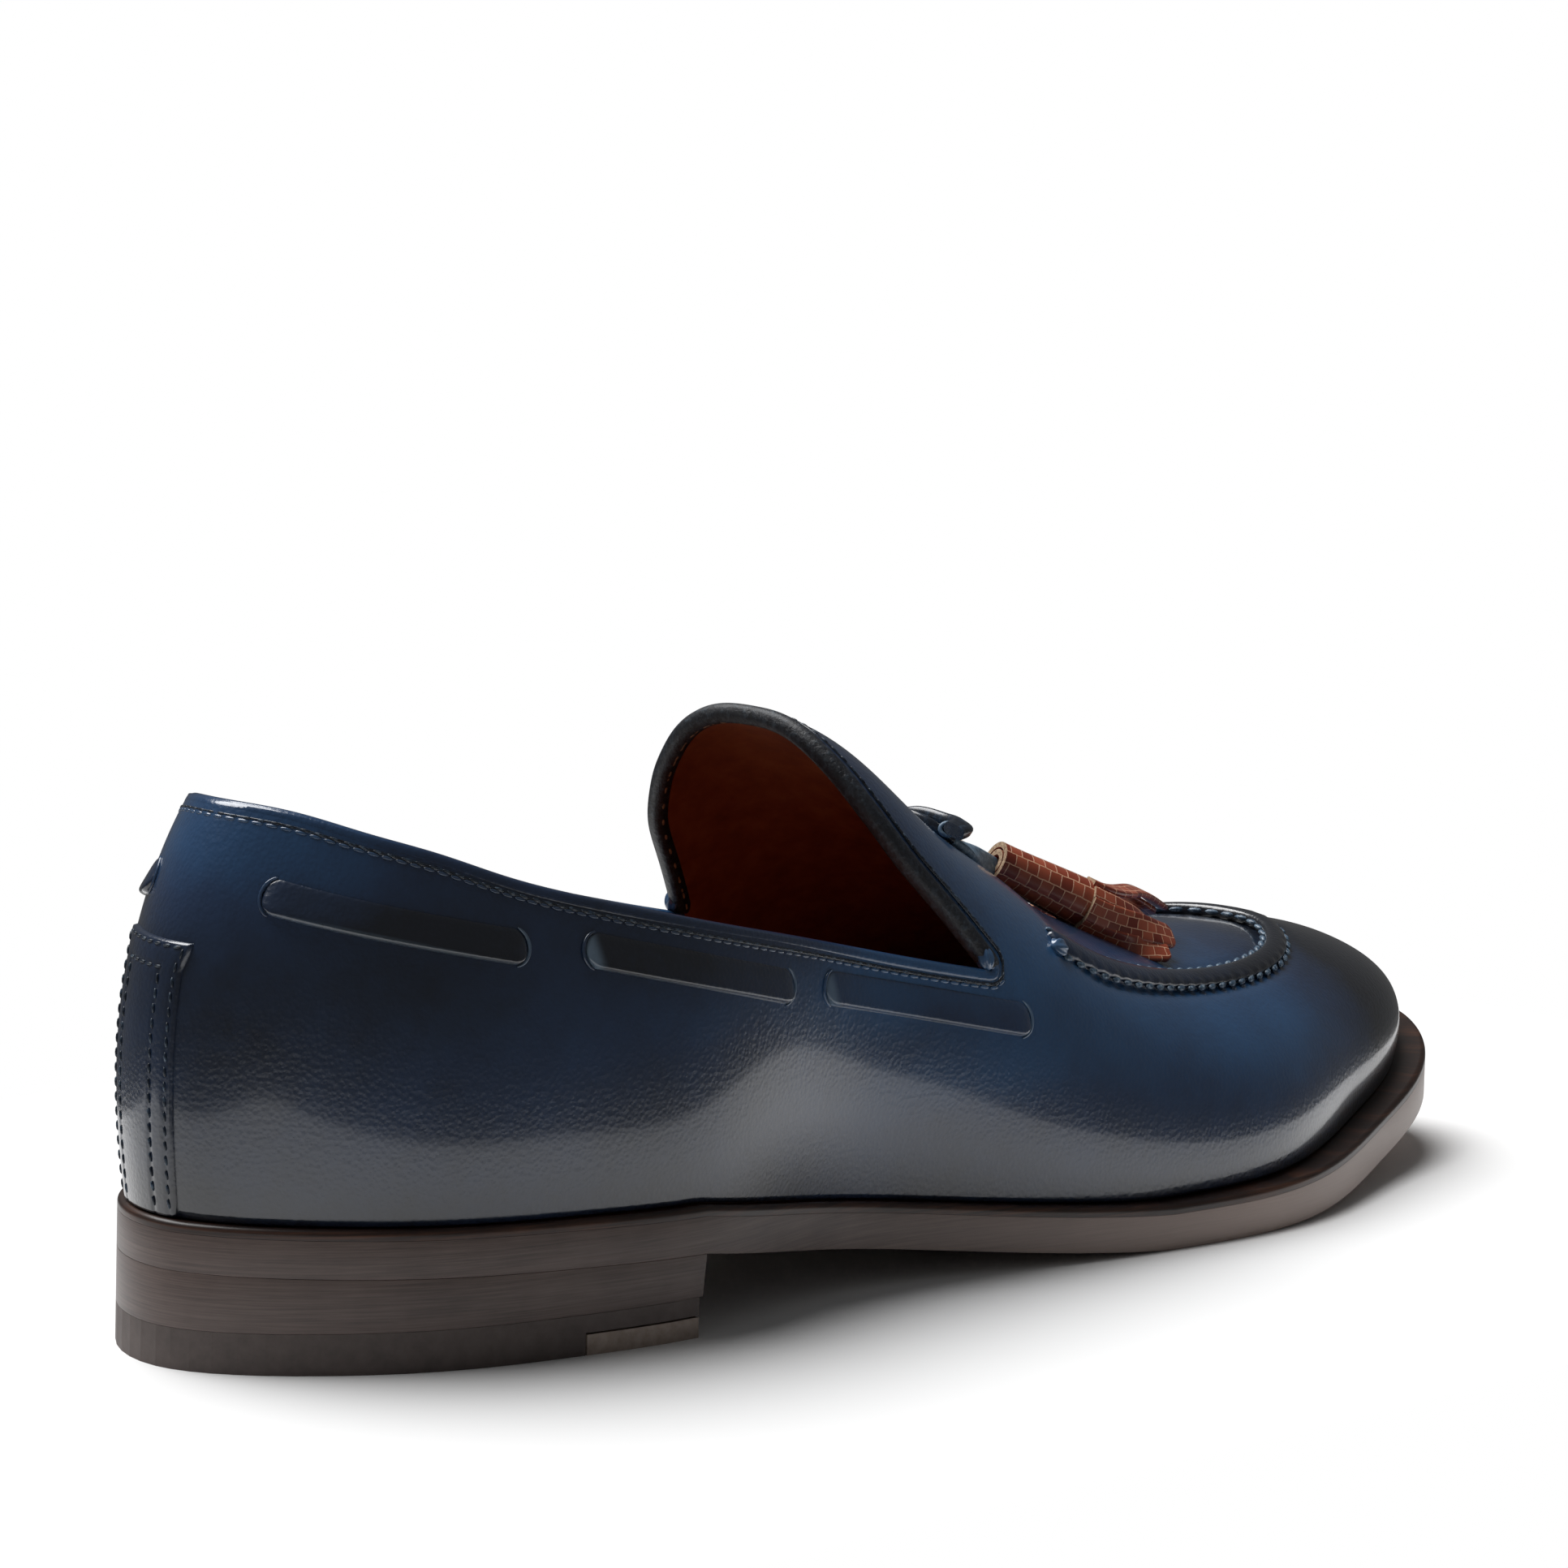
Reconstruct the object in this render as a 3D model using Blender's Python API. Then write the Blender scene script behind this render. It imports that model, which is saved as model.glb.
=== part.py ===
"""A right tassel loafer, standing on its sole, toe along +X.

The upper is one hollow wall of leather. It stands on a welt over a leather
outsole, with a stacked heel. A lace shows on the collar as six bars and ends
in two tassels on the vamp.
"""
import math

import bmesh
import bpy
import numpy as np
from mathutils import Matrix

# one millimetre, in metres
mm = 0.001

# sizes of the sole and heel, in metres
sole_length = 0.300
ball_width = 0.104
heel_height = 0.0133
heel_rake = 0.0022
heel_slant = 0.0015
toe_spring = 0.0138
outsole_thickness = 0.0060
lift_thickness = 0.0065
lift_front_thickness = 0.0033
lift_front_length = 0.0225
welt_height = 0.0014
welt_bevel = 0.0009
welt_band = 0.0090
toe_margin = 0.0055
insole_thickness = 0.0025

# sizes of the upper
instep_height = 0.0906
collar_height = 0.0868
tongue_reach = 0.0235
upper_wall = 0.0022
side_bulge = 0.0050

# sizes of what lies on the upper
strap_thickness = 0.0009
strap_width = 0.0180
strap_offset = 0.0065
strap_top = 0.0660
seam_width = 0.0036
seam_height = 0.0014
bar_width = 0.0044
bar_height = 0.0013
bar_edge_share = 0.35
lace_thickness = 0.0018
tassel_head_diameter = 0.0084
tassel_strip_width = 0.0038
tassel_strip_thickness = 0.0013

# gap that touching pieces keep
gap = 0.0003

# places along the sole, as shares of its length
breast_share = 0.264
ball_flat_start = 0.620
ball_flat_end = 0.667
throat_share = 0.506
medial_throat_share = 0.490
throat_blend_share = 0.100
heel_centre_share = 0.110
toe_centre_share = 0.872
centre_blend_share = 0.045
shank_power = 1.25

stations = 54
quarter_rows = 8
vamp_rows = 10
tongue_columns = 6
seam_steps = 40
bar_steps = 16
strip_steps = 6
strap_steps = 9
lace_steps = 14
outline_points = 720
welt_skip = 8
foot_rim = 0.003

# outline of the sole: share of its length, share of the ball width (lateral is negative)
sole_rows = [
    (0.000, 0.000), (0.044, -0.190), (0.114, -0.308), (0.180, -0.358), (0.270, -0.388),
    (0.400, -0.334), (0.520, -0.402), (0.630, -0.461), (0.740, -0.459), (0.850, -0.347),
    (0.930, -0.245), (0.985, -0.099), (1.000, 0.020), (0.985, 0.145), (0.930, 0.336),
    (0.850, 0.455), (0.760, 0.508), (0.680, 0.503), (0.560, 0.413), (0.430, 0.295),
    (0.300, 0.300), (0.180, 0.315), (0.100, 0.295), (0.030, 0.190),
]
# how far the upper stands in from the sole's edge: share of length, share of toe_margin
margin_rows = [
    (0.0, 0.34), (0.10, 0.28), (0.27, 0.34), (0.45, 0.42), (0.62, 0.74), (0.85, 0.94), (1.0, 1.0),
]
# top of the vamp: share of length, share of instep_height
ridge_rows = [
    (0.000, 1.180), (0.250, 1.170), (0.340, 1.100), (0.385, 1.028), (0.428, 1.000),
    (0.467, 0.948), (0.495, 0.886), (0.550, 0.762), (0.600, 0.664), (0.633, 0.606),
    (0.667, 0.558), (0.700, 0.524), (0.733, 0.502), (0.773, 0.488), (0.810, 0.480),
    (0.840, 0.471), (0.870, 0.459), (0.900, 0.437),
]
# middle line of the vamp: share of length, share of ball_width
middle_rows = [(0.0, 0.0), (0.55, 0.0), (0.75, 0.008), (1.0, 0.020)]
# shape of the sections: share of length, power of the plan, share of side_bulge
section_rows = [
    (0.00, 1.18, 0.80), (0.10, 1.18, 0.74), (0.18, 1.16, 0.77), (0.28, 1.07, 0.86),
    (0.38, 0.77, 1.03), (0.50, 0.77, 0.74), (0.62, 0.96, 0.50), (0.75, 0.96, 0.38),
    (0.88, 0.79, 0.42), (1.00, 0.71, 0.28),
]
# top edge of the quarters: share of length, share of collar_height
collar_rows = [
    (0.000, 1.005), (0.030, 0.991), (0.072, 0.953), (0.113, 0.912), (0.150, 0.865),
    (0.193, 0.821), (0.240, 0.780), (0.288, 0.740), (0.337, 0.701), (0.390, 0.657),
    (0.443, 0.613), (0.506, 0.566),
]
# edge of the tongue: share of the way up from the throat's corner, share of tongue_reach
tongue_rows = [
    (0.00, 0.00), (0.14, 0.38), (0.22, 0.60), (0.32, 0.745), (0.39, 0.82), (0.49, 0.89),
    (0.62, 0.96), (0.75, 0.99), (1.00, 1.00),
]

# raised seam round the apron: share of length, share of ball_width out from the middle line
apron_rows = [
    (0.580, 0.258), (0.607, 0.284), (0.640, 0.286), (0.687, 0.270), (0.740, 0.248),
    (0.790, 0.216), (0.830, 0.160), (0.853, 0.078), (0.858, 0.000),
]
# lace bars on each side: share of length along the feather line and of collar_height, both ends
bar_rows = [(0.047, 0.852, 0.196, 0.744), (0.232, 0.734, 0.384, 0.607), (0.414, 0.594, 0.574, 0.470)]
# tassels: head, then end of the rolled body, each as share of length, share of ball_width and
# distance off the vamp as a share of tassel_head_diameter
tassel_rows = {
    "lateral": ((0.630, -0.046, 0.62), (0.681, -0.120, 0.56)),
    "medial": ((0.630, 0.048, 0.62), (0.681, 0.122, 0.56)),
}
# rolled body of a tassel from its head to its lower end: half width and half depth, shares of its radius
roll_rows = [(0.97, 0.97), (1.0, 1.0), (1.0, 0.98), (1.0, 0.90), (0.93, 0.72)]
roll_sides = 12
tassel_bow = 0.0004
# which way is out from the vamp, around the tassels
vamp_up = (0.45, 0.0, 0.89)
# where a strip starts inside the roll, where it bends, how far it hangs clear and how it tapers
strip_root = 0.0024
strip_root_rise = 0.0007
strip_bend_share = 0.45
bend_clear = 0.0010
tip_clear = 0.0006
strip_root_share = 0.80
strip_tip_share = 0.62
# strips of a tassel: share of length and of ball_width of the tip, how high it lies in strip layers
strip_rows = [
    (0.722, 0.205, 0.0), (0.741, 0.168, 0.0), (0.750, 0.118, 0.0), (0.745, 0.065, 0.0),
    (0.728, 0.166, 1.3), (0.756, 0.085, 1.3), (0.738, 0.125, 2.4),
]
# the two lace ends: share of length, share of ball_width, how far clear of the vamp in mm
lace_rows = {
    "lateral": [
        (0.553, 0.070, 0.7), (0.546, 0.045, 2.2), (0.545, 0.015, 3.0), (0.552, -0.020, 2.8),
        (0.563, -0.052, 1.8), (0.577, -0.068, 1.3), (0.592, -0.066, 2.0), (0.606, -0.055, 4.0),
        (0.617, -0.047, 5.0),
    ],
    "medial": [
        (0.557, -0.105, 0.7), (0.571, -0.086, 3.8), (0.578, -0.050, 4.6), (0.577, -0.010, 4.0),
        (0.572, 0.030, 3.0), (0.577, 0.062, 2.0), (0.592, 0.068, 2.4), (0.606, 0.057, 4.0),
        (0.617, 0.049, 5.0),
    ],
}


def cubic(knots, values, at):
    """Natural cubic spline through rows of values at the knots, read at the places in at."""
    knots = np.asarray(knots, float)
    values = np.asarray(values, float).reshape(len(knots), -1)
    at = np.asarray(at, float)
    step = np.diff(knots)
    slope = np.diff(values, axis=0) / step[:, None]
    matrix = np.eye(len(knots))
    right = np.zeros_like(values)
    for i in range(1, len(knots) - 1):
        matrix[i, i - 1:i + 2] = step[i - 1], 2 * (step[i - 1] + step[i]), step[i]
        right[i] = 6 * (slope[i] - slope[i - 1])
    bend = np.linalg.solve(matrix, right)
    k = np.clip(np.searchsorted(knots, at, side="right") - 1, 0, len(step) - 1)
    width = step[k][..., None]
    before = (at - knots[k])[..., None]
    after = width - before
    curve = (bend[k] * after ** 3 + bend[k + 1] * before ** 3) / (6 * width)
    curve += (values[k] / width - bend[k] * width / 6) * after
    curve += (values[k + 1] / width - bend[k + 1] * width / 6) * before
    return curve


def table(rows, x, unit):
    """Column 1 of rows times unit, smoothly, at the places x along the sole."""
    rows = np.asarray(rows)
    share = np.clip(np.asarray(x) / sole_length, rows[0, 0], rows[-1, 0])
    return cubic(rows[:, 0], rows[:, 1], share)[..., 0] * unit


def closed_outline(rows, count):
    """Smooth closed outline of the sole through its rows, as count points."""
    points = np.asarray(rows) * (sole_length, ball_width)
    around = np.vstack([points, points, points, points[:1]])
    steps = np.linalg.norm(np.diff(around, axis=0), axis=1)
    travel = np.concatenate([[0], np.cumsum(steps)])
    start, end = travel[len(points)], travel[2 * len(points)]
    return cubic(travel, around, np.linspace(start, end, count, endpoint=False))


def inward(outline, distance):
    """The outline moved in by a distance for each of its points."""
    ahead = np.roll(outline, -1, axis=0) - np.roll(outline, 1, axis=0)
    ahead /= np.linalg.norm(ahead, axis=1)[:, None]
    left = np.stack([-ahead[:, 1], ahead[:, 0]], axis=1)
    return outline + left * np.asarray(distance)[..., None]


def side_lines(outline):
    """The lateral and medial halves of an outline, each as x and y from heel to toe."""
    back = int(np.argmin(outline[:, 0]))
    turned = np.roll(outline, -back, axis=0)
    front = int(np.argmax(turned[:, 0]))
    lateral = turned[:front + 1]
    medial = np.vstack([turned[front:], turned[:1]])[::-1]
    return lateral, medial


def side_y(outline, x, side):
    """Where the outline's side lies at x: side is -1 for lateral and 1 for medial."""
    lateral, medial = side_lines(outline)
    line = lateral if side < 0 else medial
    return np.interp(x, line[:, 0], line[:, 1])


def spread(start, end, count):
    """Places from start to end, closer together at both ends."""
    return start + (end - start) * (1 - np.cos(np.linspace(0, math.pi, count))) / 2


sole_line = closed_outline(sole_rows, outline_points)
feather_line = inward(sole_line, table(margin_rows, sole_line[:, 0], toe_margin))
breast_x = breast_share * sole_length
flat_start_x = ball_flat_start * sole_length
flat_end_x = ball_flat_end * sole_length
throat_x = throat_share * sole_length
# sine times cosine cubed is largest at 30 degrees
bulge_peak = math.sin(math.radians(30)) * math.cos(math.radians(30)) ** 3


def sole_bottom(x):
    """Height of the outsole's underside: raked heel seat, shank, flat ball and toe spring."""
    x = np.asarray(x, float)
    seat = heel_height + heel_rake * np.clip(1 - x / breast_x, 0, 1)
    arch = np.clip((flat_start_x - x) / (flat_start_x - breast_x), 0, 1)
    toe = np.clip((x - flat_end_x) / (sole_length - flat_end_x), 0, None)
    return np.where(x < breast_x, seat, heel_height * arch ** shank_power) + toe_spring * toe ** 2


def welt_bottom(x):
    return sole_bottom(x) + outsole_thickness + gap


def upper_bottom(x):
    return welt_bottom(x) + welt_height + gap


def middle_x(x):
    """Middle line point that the column over x rises to: the columns fan out at heel and toe."""
    heel_x, toe_x, blend = (sole_length * share for share in
                            (heel_centre_share, toe_centre_share, centre_blend_share))
    x = np.asarray(x, float)
    low = np.clip(heel_x + blend - x, 0, 2 * blend)
    high = np.clip(x - toe_x + blend, 0, 2 * blend)
    inner = np.clip(x, heel_x - blend, toe_x + blend)
    return inner + low ** 2 / (4 * blend) - high ** 2 / (4 * blend)


def ridge_height(x):
    return table(ridge_rows, x, instep_height)


def upper_point(x, side, angle):
    """Outer face of the upper over the feather line at x, angle from 0 there to 90 degrees on top."""
    x, angle = np.broadcast_arrays(np.asarray(x, float), np.asarray(angle, float))
    foot = np.stack([x, side_y(feather_line, x, side)], axis=-1)
    top_x = middle_x(x)
    top = np.stack([top_x, table(middle_rows, top_x, ball_width)], axis=-1)
    share = np.clip(x / sole_length, 0, 1)
    section = np.asarray(section_rows)
    power, bulge = np.moveaxis(cubic(section[:, 0], section[:, 1:], share), -1, 0)
    reach = foot - top
    out = reach / np.maximum(np.linalg.norm(reach, axis=-1), 1e-9)[..., None]
    up, level = np.sin(angle), np.maximum(np.cos(angle), 0)
    swell = side_bulge * bulge * up * level ** 3 / bulge_peak
    plan = top + reach * (level ** power)[..., None] + out * swell[..., None]
    ridge, low = ridge_height(top_x), upper_bottom(x)
    lean = (ridge_height(top_x + mm) - ridge_height(top_x - mm)) / (2 * mm)
    height = low + (ridge - low) * up + lean * (plan[..., 0] - top_x) * up ** 2
    return np.concatenate([plan, height[..., None]], axis=-1)


def upper_face(x, side, angle, distance):
    """A point at a distance outside the upper's outer face."""
    x, angle = np.broadcast_arrays(np.asarray(x, float), np.asarray(angle, float))
    step = 0.4 * mm
    along = upper_point(x + step, side, angle) - upper_point(x - step, side, angle)
    rise = upper_point(x, side, angle + 0.004) - upper_point(x, side, angle - 0.004)
    normal = np.cross(along, rise) * -side
    normal /= np.maximum(np.linalg.norm(normal, axis=-1), 1e-12)[..., None]
    return upper_point(x, side, angle) + normal * np.asarray(distance)[..., None]


def angle_at(x, height):
    """Angle at which the upper's column over x reaches a height."""
    low, ridge = upper_bottom(x), ridge_height(middle_x(x))
    return np.arcsin(np.clip((height - low) / (ridge - low), 0, 1))


def collar_angle(x):
    return angle_at(x, table(collar_rows, x, collar_height))


def settle(plan):
    """Feather place, side and angle of the column point that lies over each plan point of the vamp."""
    plan = np.asarray(plan, float)
    side = np.where(plan[..., 1] < table(middle_rows, plan[..., 0], ball_width), -1.0, 1.0)
    x = plan[..., 0].copy()
    angle = np.full(x.shape, math.radians(60))

    def read(x, angle):
        both = [upper_point(x, way, angle) for way in (-1, 1)]
        return np.where(side[..., None] < 0, both[0], both[1])[..., :2]

    for _ in range(30):
        here = read(x, angle)
        by_x = (read(x + 0.1 * mm, angle) - here) / (0.1 * mm)
        by_angle = (read(x, angle - 0.001) - here) / -0.001
        miss = plan - here
        size = by_x[..., 0] * by_angle[..., 1] - by_x[..., 1] * by_angle[..., 0]
        size = np.where(np.abs(size) < 1e-6, -1e-6, size)
        x_move = (miss[..., 0] * by_angle[..., 1] - miss[..., 1] * by_angle[..., 0]) / size
        angle_move = (by_x[..., 0] * miss[..., 1] - by_x[..., 1] * miss[..., 0]) / size
        x = x + np.clip(x_move, -4 * mm, 4 * mm)
        angle = np.clip(angle + np.clip(angle_move, -0.2, 0.2), 0.2, math.pi / 2 - 0.002)
    return x, side, angle


def over_vamp(plan, distance):
    """Points a distance outside the vamp, over plan points."""
    x, side, angle = settle(plan)
    both = [upper_face(x, way, angle, distance) for way in (-1, 1)]
    return np.where(side[..., None] < 0, both[0], both[1])


def material(name, colour, roughness):
    made = bpy.data.materials.new(name)
    made.use_nodes = True
    shader = made.node_tree.nodes["Principled BSDF"]
    shader.inputs["Base Color"].default_value = (*colour, 1)
    shader.inputs["Roughness"].default_value = roughness
    shader.inputs["Metallic"].default_value = 0.0
    return made


def add_object(name, mesh, finish):
    part = bpy.data.objects.new(name, mesh)
    part.data.materials.append(finish)
    bpy.context.scene.collection.objects.link(part)
    return part


def finish_mesh(name, bm, finish):
    """Turn a bmesh into the named object, with its faces pointing out."""
    bmesh.ops.remove_doubles(bm, verts=bm.verts, dist=0.001 * mm)
    bmesh.ops.dissolve_degenerate(bm, edges=bm.edges, dist=0.001 * mm)
    bmesh.ops.recalc_face_normals(bm, faces=bm.faces)
    mesh = bpy.data.meshes.new(name)
    bm.to_mesh(mesh)
    bm.free()
    mesh.shade_smooth()
    mesh.set_sharp_from_angle(angle=math.radians(35))
    return add_object(name, mesh, finish)


def add_grid(bm, points):
    """A sheet of four-sided faces through a grid of points."""
    rows = [[bm.verts.new(point) for point in row] for row in np.asarray(points).tolist()]
    for low, high in zip(rows, rows[1:]):
        for a, b, c, d in zip(low, low[1:], high[1:], high):
            bm.faces.new((a, b, c, d))


def between(name, lower, upper, finish):
    """A closed solid between two grids of points of the same size."""
    bm = bmesh.new()
    add_grid(bm, lower)
    add_grid(bm, upper)
    for edge in (np.s_[0], np.s_[-1], np.s_[:, 0], np.s_[:, -1]):
        add_grid(bm, np.stack([lower[edge], upper[edge]]))
    return finish_mesh(name, bm, finish)


def plate_rows(outline, x, height):
    """Grid of two columns: the outline's lateral and medial edge at each x, at a height for each x."""
    sides = [np.stack([x, side_y(outline, x, side), height], axis=-1) for side in (-1, 1)]
    return np.stack(sides, axis=1)


def full_stations(outline):
    return spread(outline[:, 0].min(), outline[:, 0].max(), stations)


def heel_stations(end_x):
    """Places from the back of the heel to end_x, closer together at the back."""
    turn = np.linspace(0, math.pi / 2, stations // 3)
    return sole_line[:, 0].min() + (end_x - sole_line[:, 0].min()) * (1 - np.cos(turn))


def make_outsole(finish):
    x = np.unique(np.concatenate([full_stations(sole_line), [breast_x, flat_start_x, flat_end_x]]))
    low = plate_rows(sole_line, x, sole_bottom(x))
    high = plate_rows(sole_line, x, sole_bottom(x) + outsole_thickness)
    return between("outsole", low, high, finish)


def make_welt(finish):
    """Narrow strip round the edge that the upper stands on, its outer top edge bevelled."""
    outer = sole_line
    top = inward(sole_line, welt_bevel)
    inner = inward(sole_line, table(margin_rows, sole_line[:, 0], toe_margin) + welt_band)
    loops = []
    for line, rise in ((outer, 0), (top, welt_height), (inner, welt_height), (inner, 0)):
        height = welt_bottom(line[:, 0]) + rise
        loops.append(np.column_stack([line, height])[::welt_skip])
    rings = np.stack(loops + loops[:1])
    rings = np.concatenate([rings, rings[:, :1]], axis=1)
    bm = bmesh.new()
    add_grid(bm, rings)
    return finish_mesh("welt", bm, finish)


def make_insole(finish):
    line = inward(sole_line, table(margin_rows, sole_line[:, 0], toe_margin) + upper_wall + 2 * gap)
    x = full_stations(line)
    low = plate_rows(line, x, upper_bottom(x))
    high = plate_rows(line, x, upper_bottom(x) + insole_thickness)
    return between("insole", low, high, finish)


def make_heel(finishes):
    """Heel stack on a lift whose front lower part is a leather piece let into the rubber."""
    front_x = breast_x - heel_slant
    step_x = front_x - lift_front_length
    high_x = heel_stations(breast_x)
    low_x = np.append(high_x[:-1] * front_x / breast_x, front_x)
    low = plate_rows(sole_line, low_x, np.full_like(low_x, lift_thickness + gap))
    seat = sole_bottom(np.minimum(high_x, breast_x - 0.001 * mm))
    high = plate_rows(sole_line, high_x, seat - gap)
    between("heel_stack", low, high, finishes["stack"])

    x = np.unique(np.append(heel_stations(front_x), step_x))
    lift_x = np.sort(np.append(x, step_x))
    let_in = np.arange(len(lift_x)) > np.searchsorted(lift_x, step_x)
    low = plate_rows(sole_line, lift_x, np.where(let_in, lift_front_thickness + gap, 0))
    high = plate_rows(sole_line, lift_x, np.full_like(lift_x, lift_thickness))
    between("top_lift", low, high, finishes["lift"])

    front = np.append(step_x + gap, x[x > step_x + gap])
    low = plate_rows(sole_line, front, 0 * front)
    high = plate_rows(sole_line, front, np.full_like(front, lift_front_thickness))
    between("lift_front", low, high, finishes["lift_front"])


def upper_patches():
    """The outer face of the upper as grids: quarters, vamp and tongue on both sides."""
    start, end = feather_line[:, 0].min(), feather_line[:, 0].max()
    x = spread(start, end, stations)
    vamp = np.append(throat_x, x[x > throat_x + 2 * mm])
    low_share = np.linspace(0, 1, quarter_rows)
    high_share = np.linspace(0, 1, vamp_rows)
    reach = np.asarray(tongue_rows)
    patches = []
    for side in (-1, 1):
        side_throat = throat_x if side < 0 else medial_throat_share * sole_length
        fade = np.clip(1 - (vamp - throat_x) / (throat_blend_share * sole_length), 0, 1) ** 2
        setback = (side_throat - throat_x) * fade
        quarter = np.append(x[x < side_throat - 2 * mm], side_throat)
        base = collar_angle(throat_x)
        corner = base + (collar_angle(side_throat) - base) * fade
        rise = corner + (math.pi / 2 - corner) * high_share[:, None]
        angle = collar_angle(quarter)[None, :] * low_share[:, None]
        patches.append(upper_point(quarter[None, :], side, angle))
        patches.append(upper_point(vamp + setback, side, corner * low_share[:, None]))
        vamp_x = vamp + setback * (1 - high_share[:, None])
        patches.append(upper_point(vamp_x, side, rise))
        edge = vamp_x[:, :1]
        back = edge - tongue_reach * cubic(reach[:, 0], reach[:, 1], high_share)
        tongue_x = back + (edge - back) * np.linspace(0, 1, tongue_columns)
        patches.append(upper_point(tongue_x, side, rise[:, :1]))
    return patches


def make_upper(finish):
    """The outer face, a copy of it moved in by the wall, and the edges between them."""
    bm = bmesh.new()
    for patch in upper_patches():
        add_grid(bm, patch)
    bmesh.ops.remove_doubles(bm, verts=bm.verts, dist=0.002 * mm)
    bmesh.ops.dissolve_degenerate(bm, edges=bm.edges, dist=0.002 * mm)
    bmesh.ops.recalc_face_normals(bm, faces=bm.faces)
    front = max(bm.faces, key=lambda face: face.calc_center_median().x)
    if front.normal.x < 0:
        bmesh.ops.reverse_faces(bm, faces=bm.faces)
    bm.normal_update()
    outer = list(bm.verts)
    edges = [edge for edge in bm.edges if edge.is_boundary]
    faces = list(bm.faces)
    inner = {}
    for vert in outer:
        normal = vert.normal.copy()
        if vert.is_boundary and vert.co.z < welt_bottom(vert.co.x) + foot_rim:
            normal.z = 0
            normal.normalize()
        inner[vert] = bm.verts.new(vert.co - normal * upper_wall)
    for face in faces:
        bm.faces.new([inner[vert] for vert in reversed(face.verts)])
    for edge in edges:
        a, b = edge.verts
        bm.faces.new((a, b, inner[b], inner[a]))
    return finish_mesh("upper", bm, finish)


def feather_x(travel, side):
    """Place along the sole of a point that lies a distance along the feather line from the heel's back."""
    line = side_lines(feather_line)[0 if side < 0 else 1]
    steps = np.linalg.norm(np.diff(line, axis=0), axis=1)
    return np.interp(travel, np.concatenate([[0], np.cumsum(steps)]), line[:, 0])


def make_back_strap(finish):
    """Counter strap over the back of the heel, from the welt up to the lace."""
    travel = strap_offset + np.linspace(-strap_width / 2, strap_width / 2, strap_steps)
    grids = []
    for distance in (gap, gap + strap_thickness):
        columns = []
        for place in travel:
            side = -1 if place < 0 else 1
            x = np.full(strap_steps, feather_x(abs(place), side))
            height = np.linspace(upper_bottom(x[0]) + gap, strap_top, strap_steps)
            columns.append(upper_face(x, side, angle_at(x, height), distance))
        grids.append(np.stack(columns))
    between("back_strap", grids[0], grids[1], finish)


def make_bar(name, side, row, finish):
    """One raised stretch of lace with round ends."""
    start, start_height, end, end_height = row
    along = np.linspace(0, 1, bar_steps)
    travel = (start + (end - start) * along) * sole_length
    height = (start_height + (end_height - start_height) * along) * collar_height
    length = (end - start) * sole_length
    from_end = np.minimum(along, 1 - along) * length / (bar_width / 2)
    half = bar_width / 2 * np.sqrt(np.clip(1 - np.clip(1 - from_end, 0, 0.97) ** 2, 0, 1))
    across = np.linspace(-1, 1, 5)
    fall = (end_height - start_height) * collar_height / length
    x = feather_x(travel[:, None] - across * half[:, None] * fall, side)
    angle = angle_at(x, height[:, None] + across * half[:, None])
    crown = np.sqrt(1 - across ** 2) * (half / half.max())[:, None]
    swell = bar_height * (bar_edge_share + (1 - bar_edge_share) * crown)
    between(name, upper_face(x, side, angle, gap), upper_face(x, side, angle, gap + swell), finish)


def apron_path(count):
    """Plan points round the apron, lateral side first, and the direction out from it at each."""
    rows = np.asarray(apron_rows) * (sole_length, ball_width)
    rows = np.vstack([rows * (1, -1), (rows * (1, 1))[-2::-1]])
    rows[:, 1] += table(middle_rows, rows[:, 0], ball_width)
    steps = np.linalg.norm(np.diff(rows, axis=0), axis=1)
    travel = np.concatenate([[0], np.cumsum(steps)])
    path = cubic(travel, rows, np.linspace(0, travel[-1], count))
    ahead = np.gradient(path, axis=0)
    ahead /= np.linalg.norm(ahead, axis=1)[:, None]
    return path, np.stack([ahead[:, 1], -ahead[:, 0]], axis=1)


def make_apron_seam(finish):
    """Raised roll of leather where the apron is sewn to the vamp."""
    path, out = apron_path(seam_steps)
    across = np.linspace(-1, 1, 5)
    plan = path[:, None] + out[:, None] * (across * seam_width / 2)[None, :, None]
    rise = seam_height * np.sqrt(1 - 0.9 * across ** 2)
    grids = [over_vamp(plan, gap), over_vamp(plan, np.broadcast_to(gap + rise, plan.shape[:2]))]
    between("apron_seam", grids[0], grids[1], finish)


def vamp_place(row):
    """A point over the vamp from shares of length and ball_width, and a distance off it."""
    return over_vamp(np.array([[row[0] * sole_length, row[1] * ball_width]]), row[2])[0]


def tube_mesh(bm, path, half_width, half_depth, sides, up):
    """A closed tube of oval section along a path, its flat side facing up."""
    ahead = np.gradient(path, axis=0)
    ahead /= np.linalg.norm(ahead, axis=1)[:, None]
    across = np.cross(ahead, up)
    across /= np.linalg.norm(across, axis=1)[:, None]
    rise = np.cross(across, ahead)
    turn = np.linspace(0, 2 * math.pi, sides, endpoint=False) + math.pi / sides
    rings = []
    for point, side, top, width, depth in zip(path, across, rise, half_width, half_depth):
        ring = point + np.cos(turn)[:, None] * side * width + np.sin(turn)[:, None] * top * depth
        rings.append([bm.verts.new(place) for place in ring.tolist()])
    for low, high in zip(rings, rings[1:]):
        for i in range(sides):
            bm.faces.new((low[i], low[(i + 1) % sides], high[(i + 1) % sides], high[i]))
    bm.faces.new(rings[0][::-1])
    bm.faces.new(rings[-1])


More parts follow.
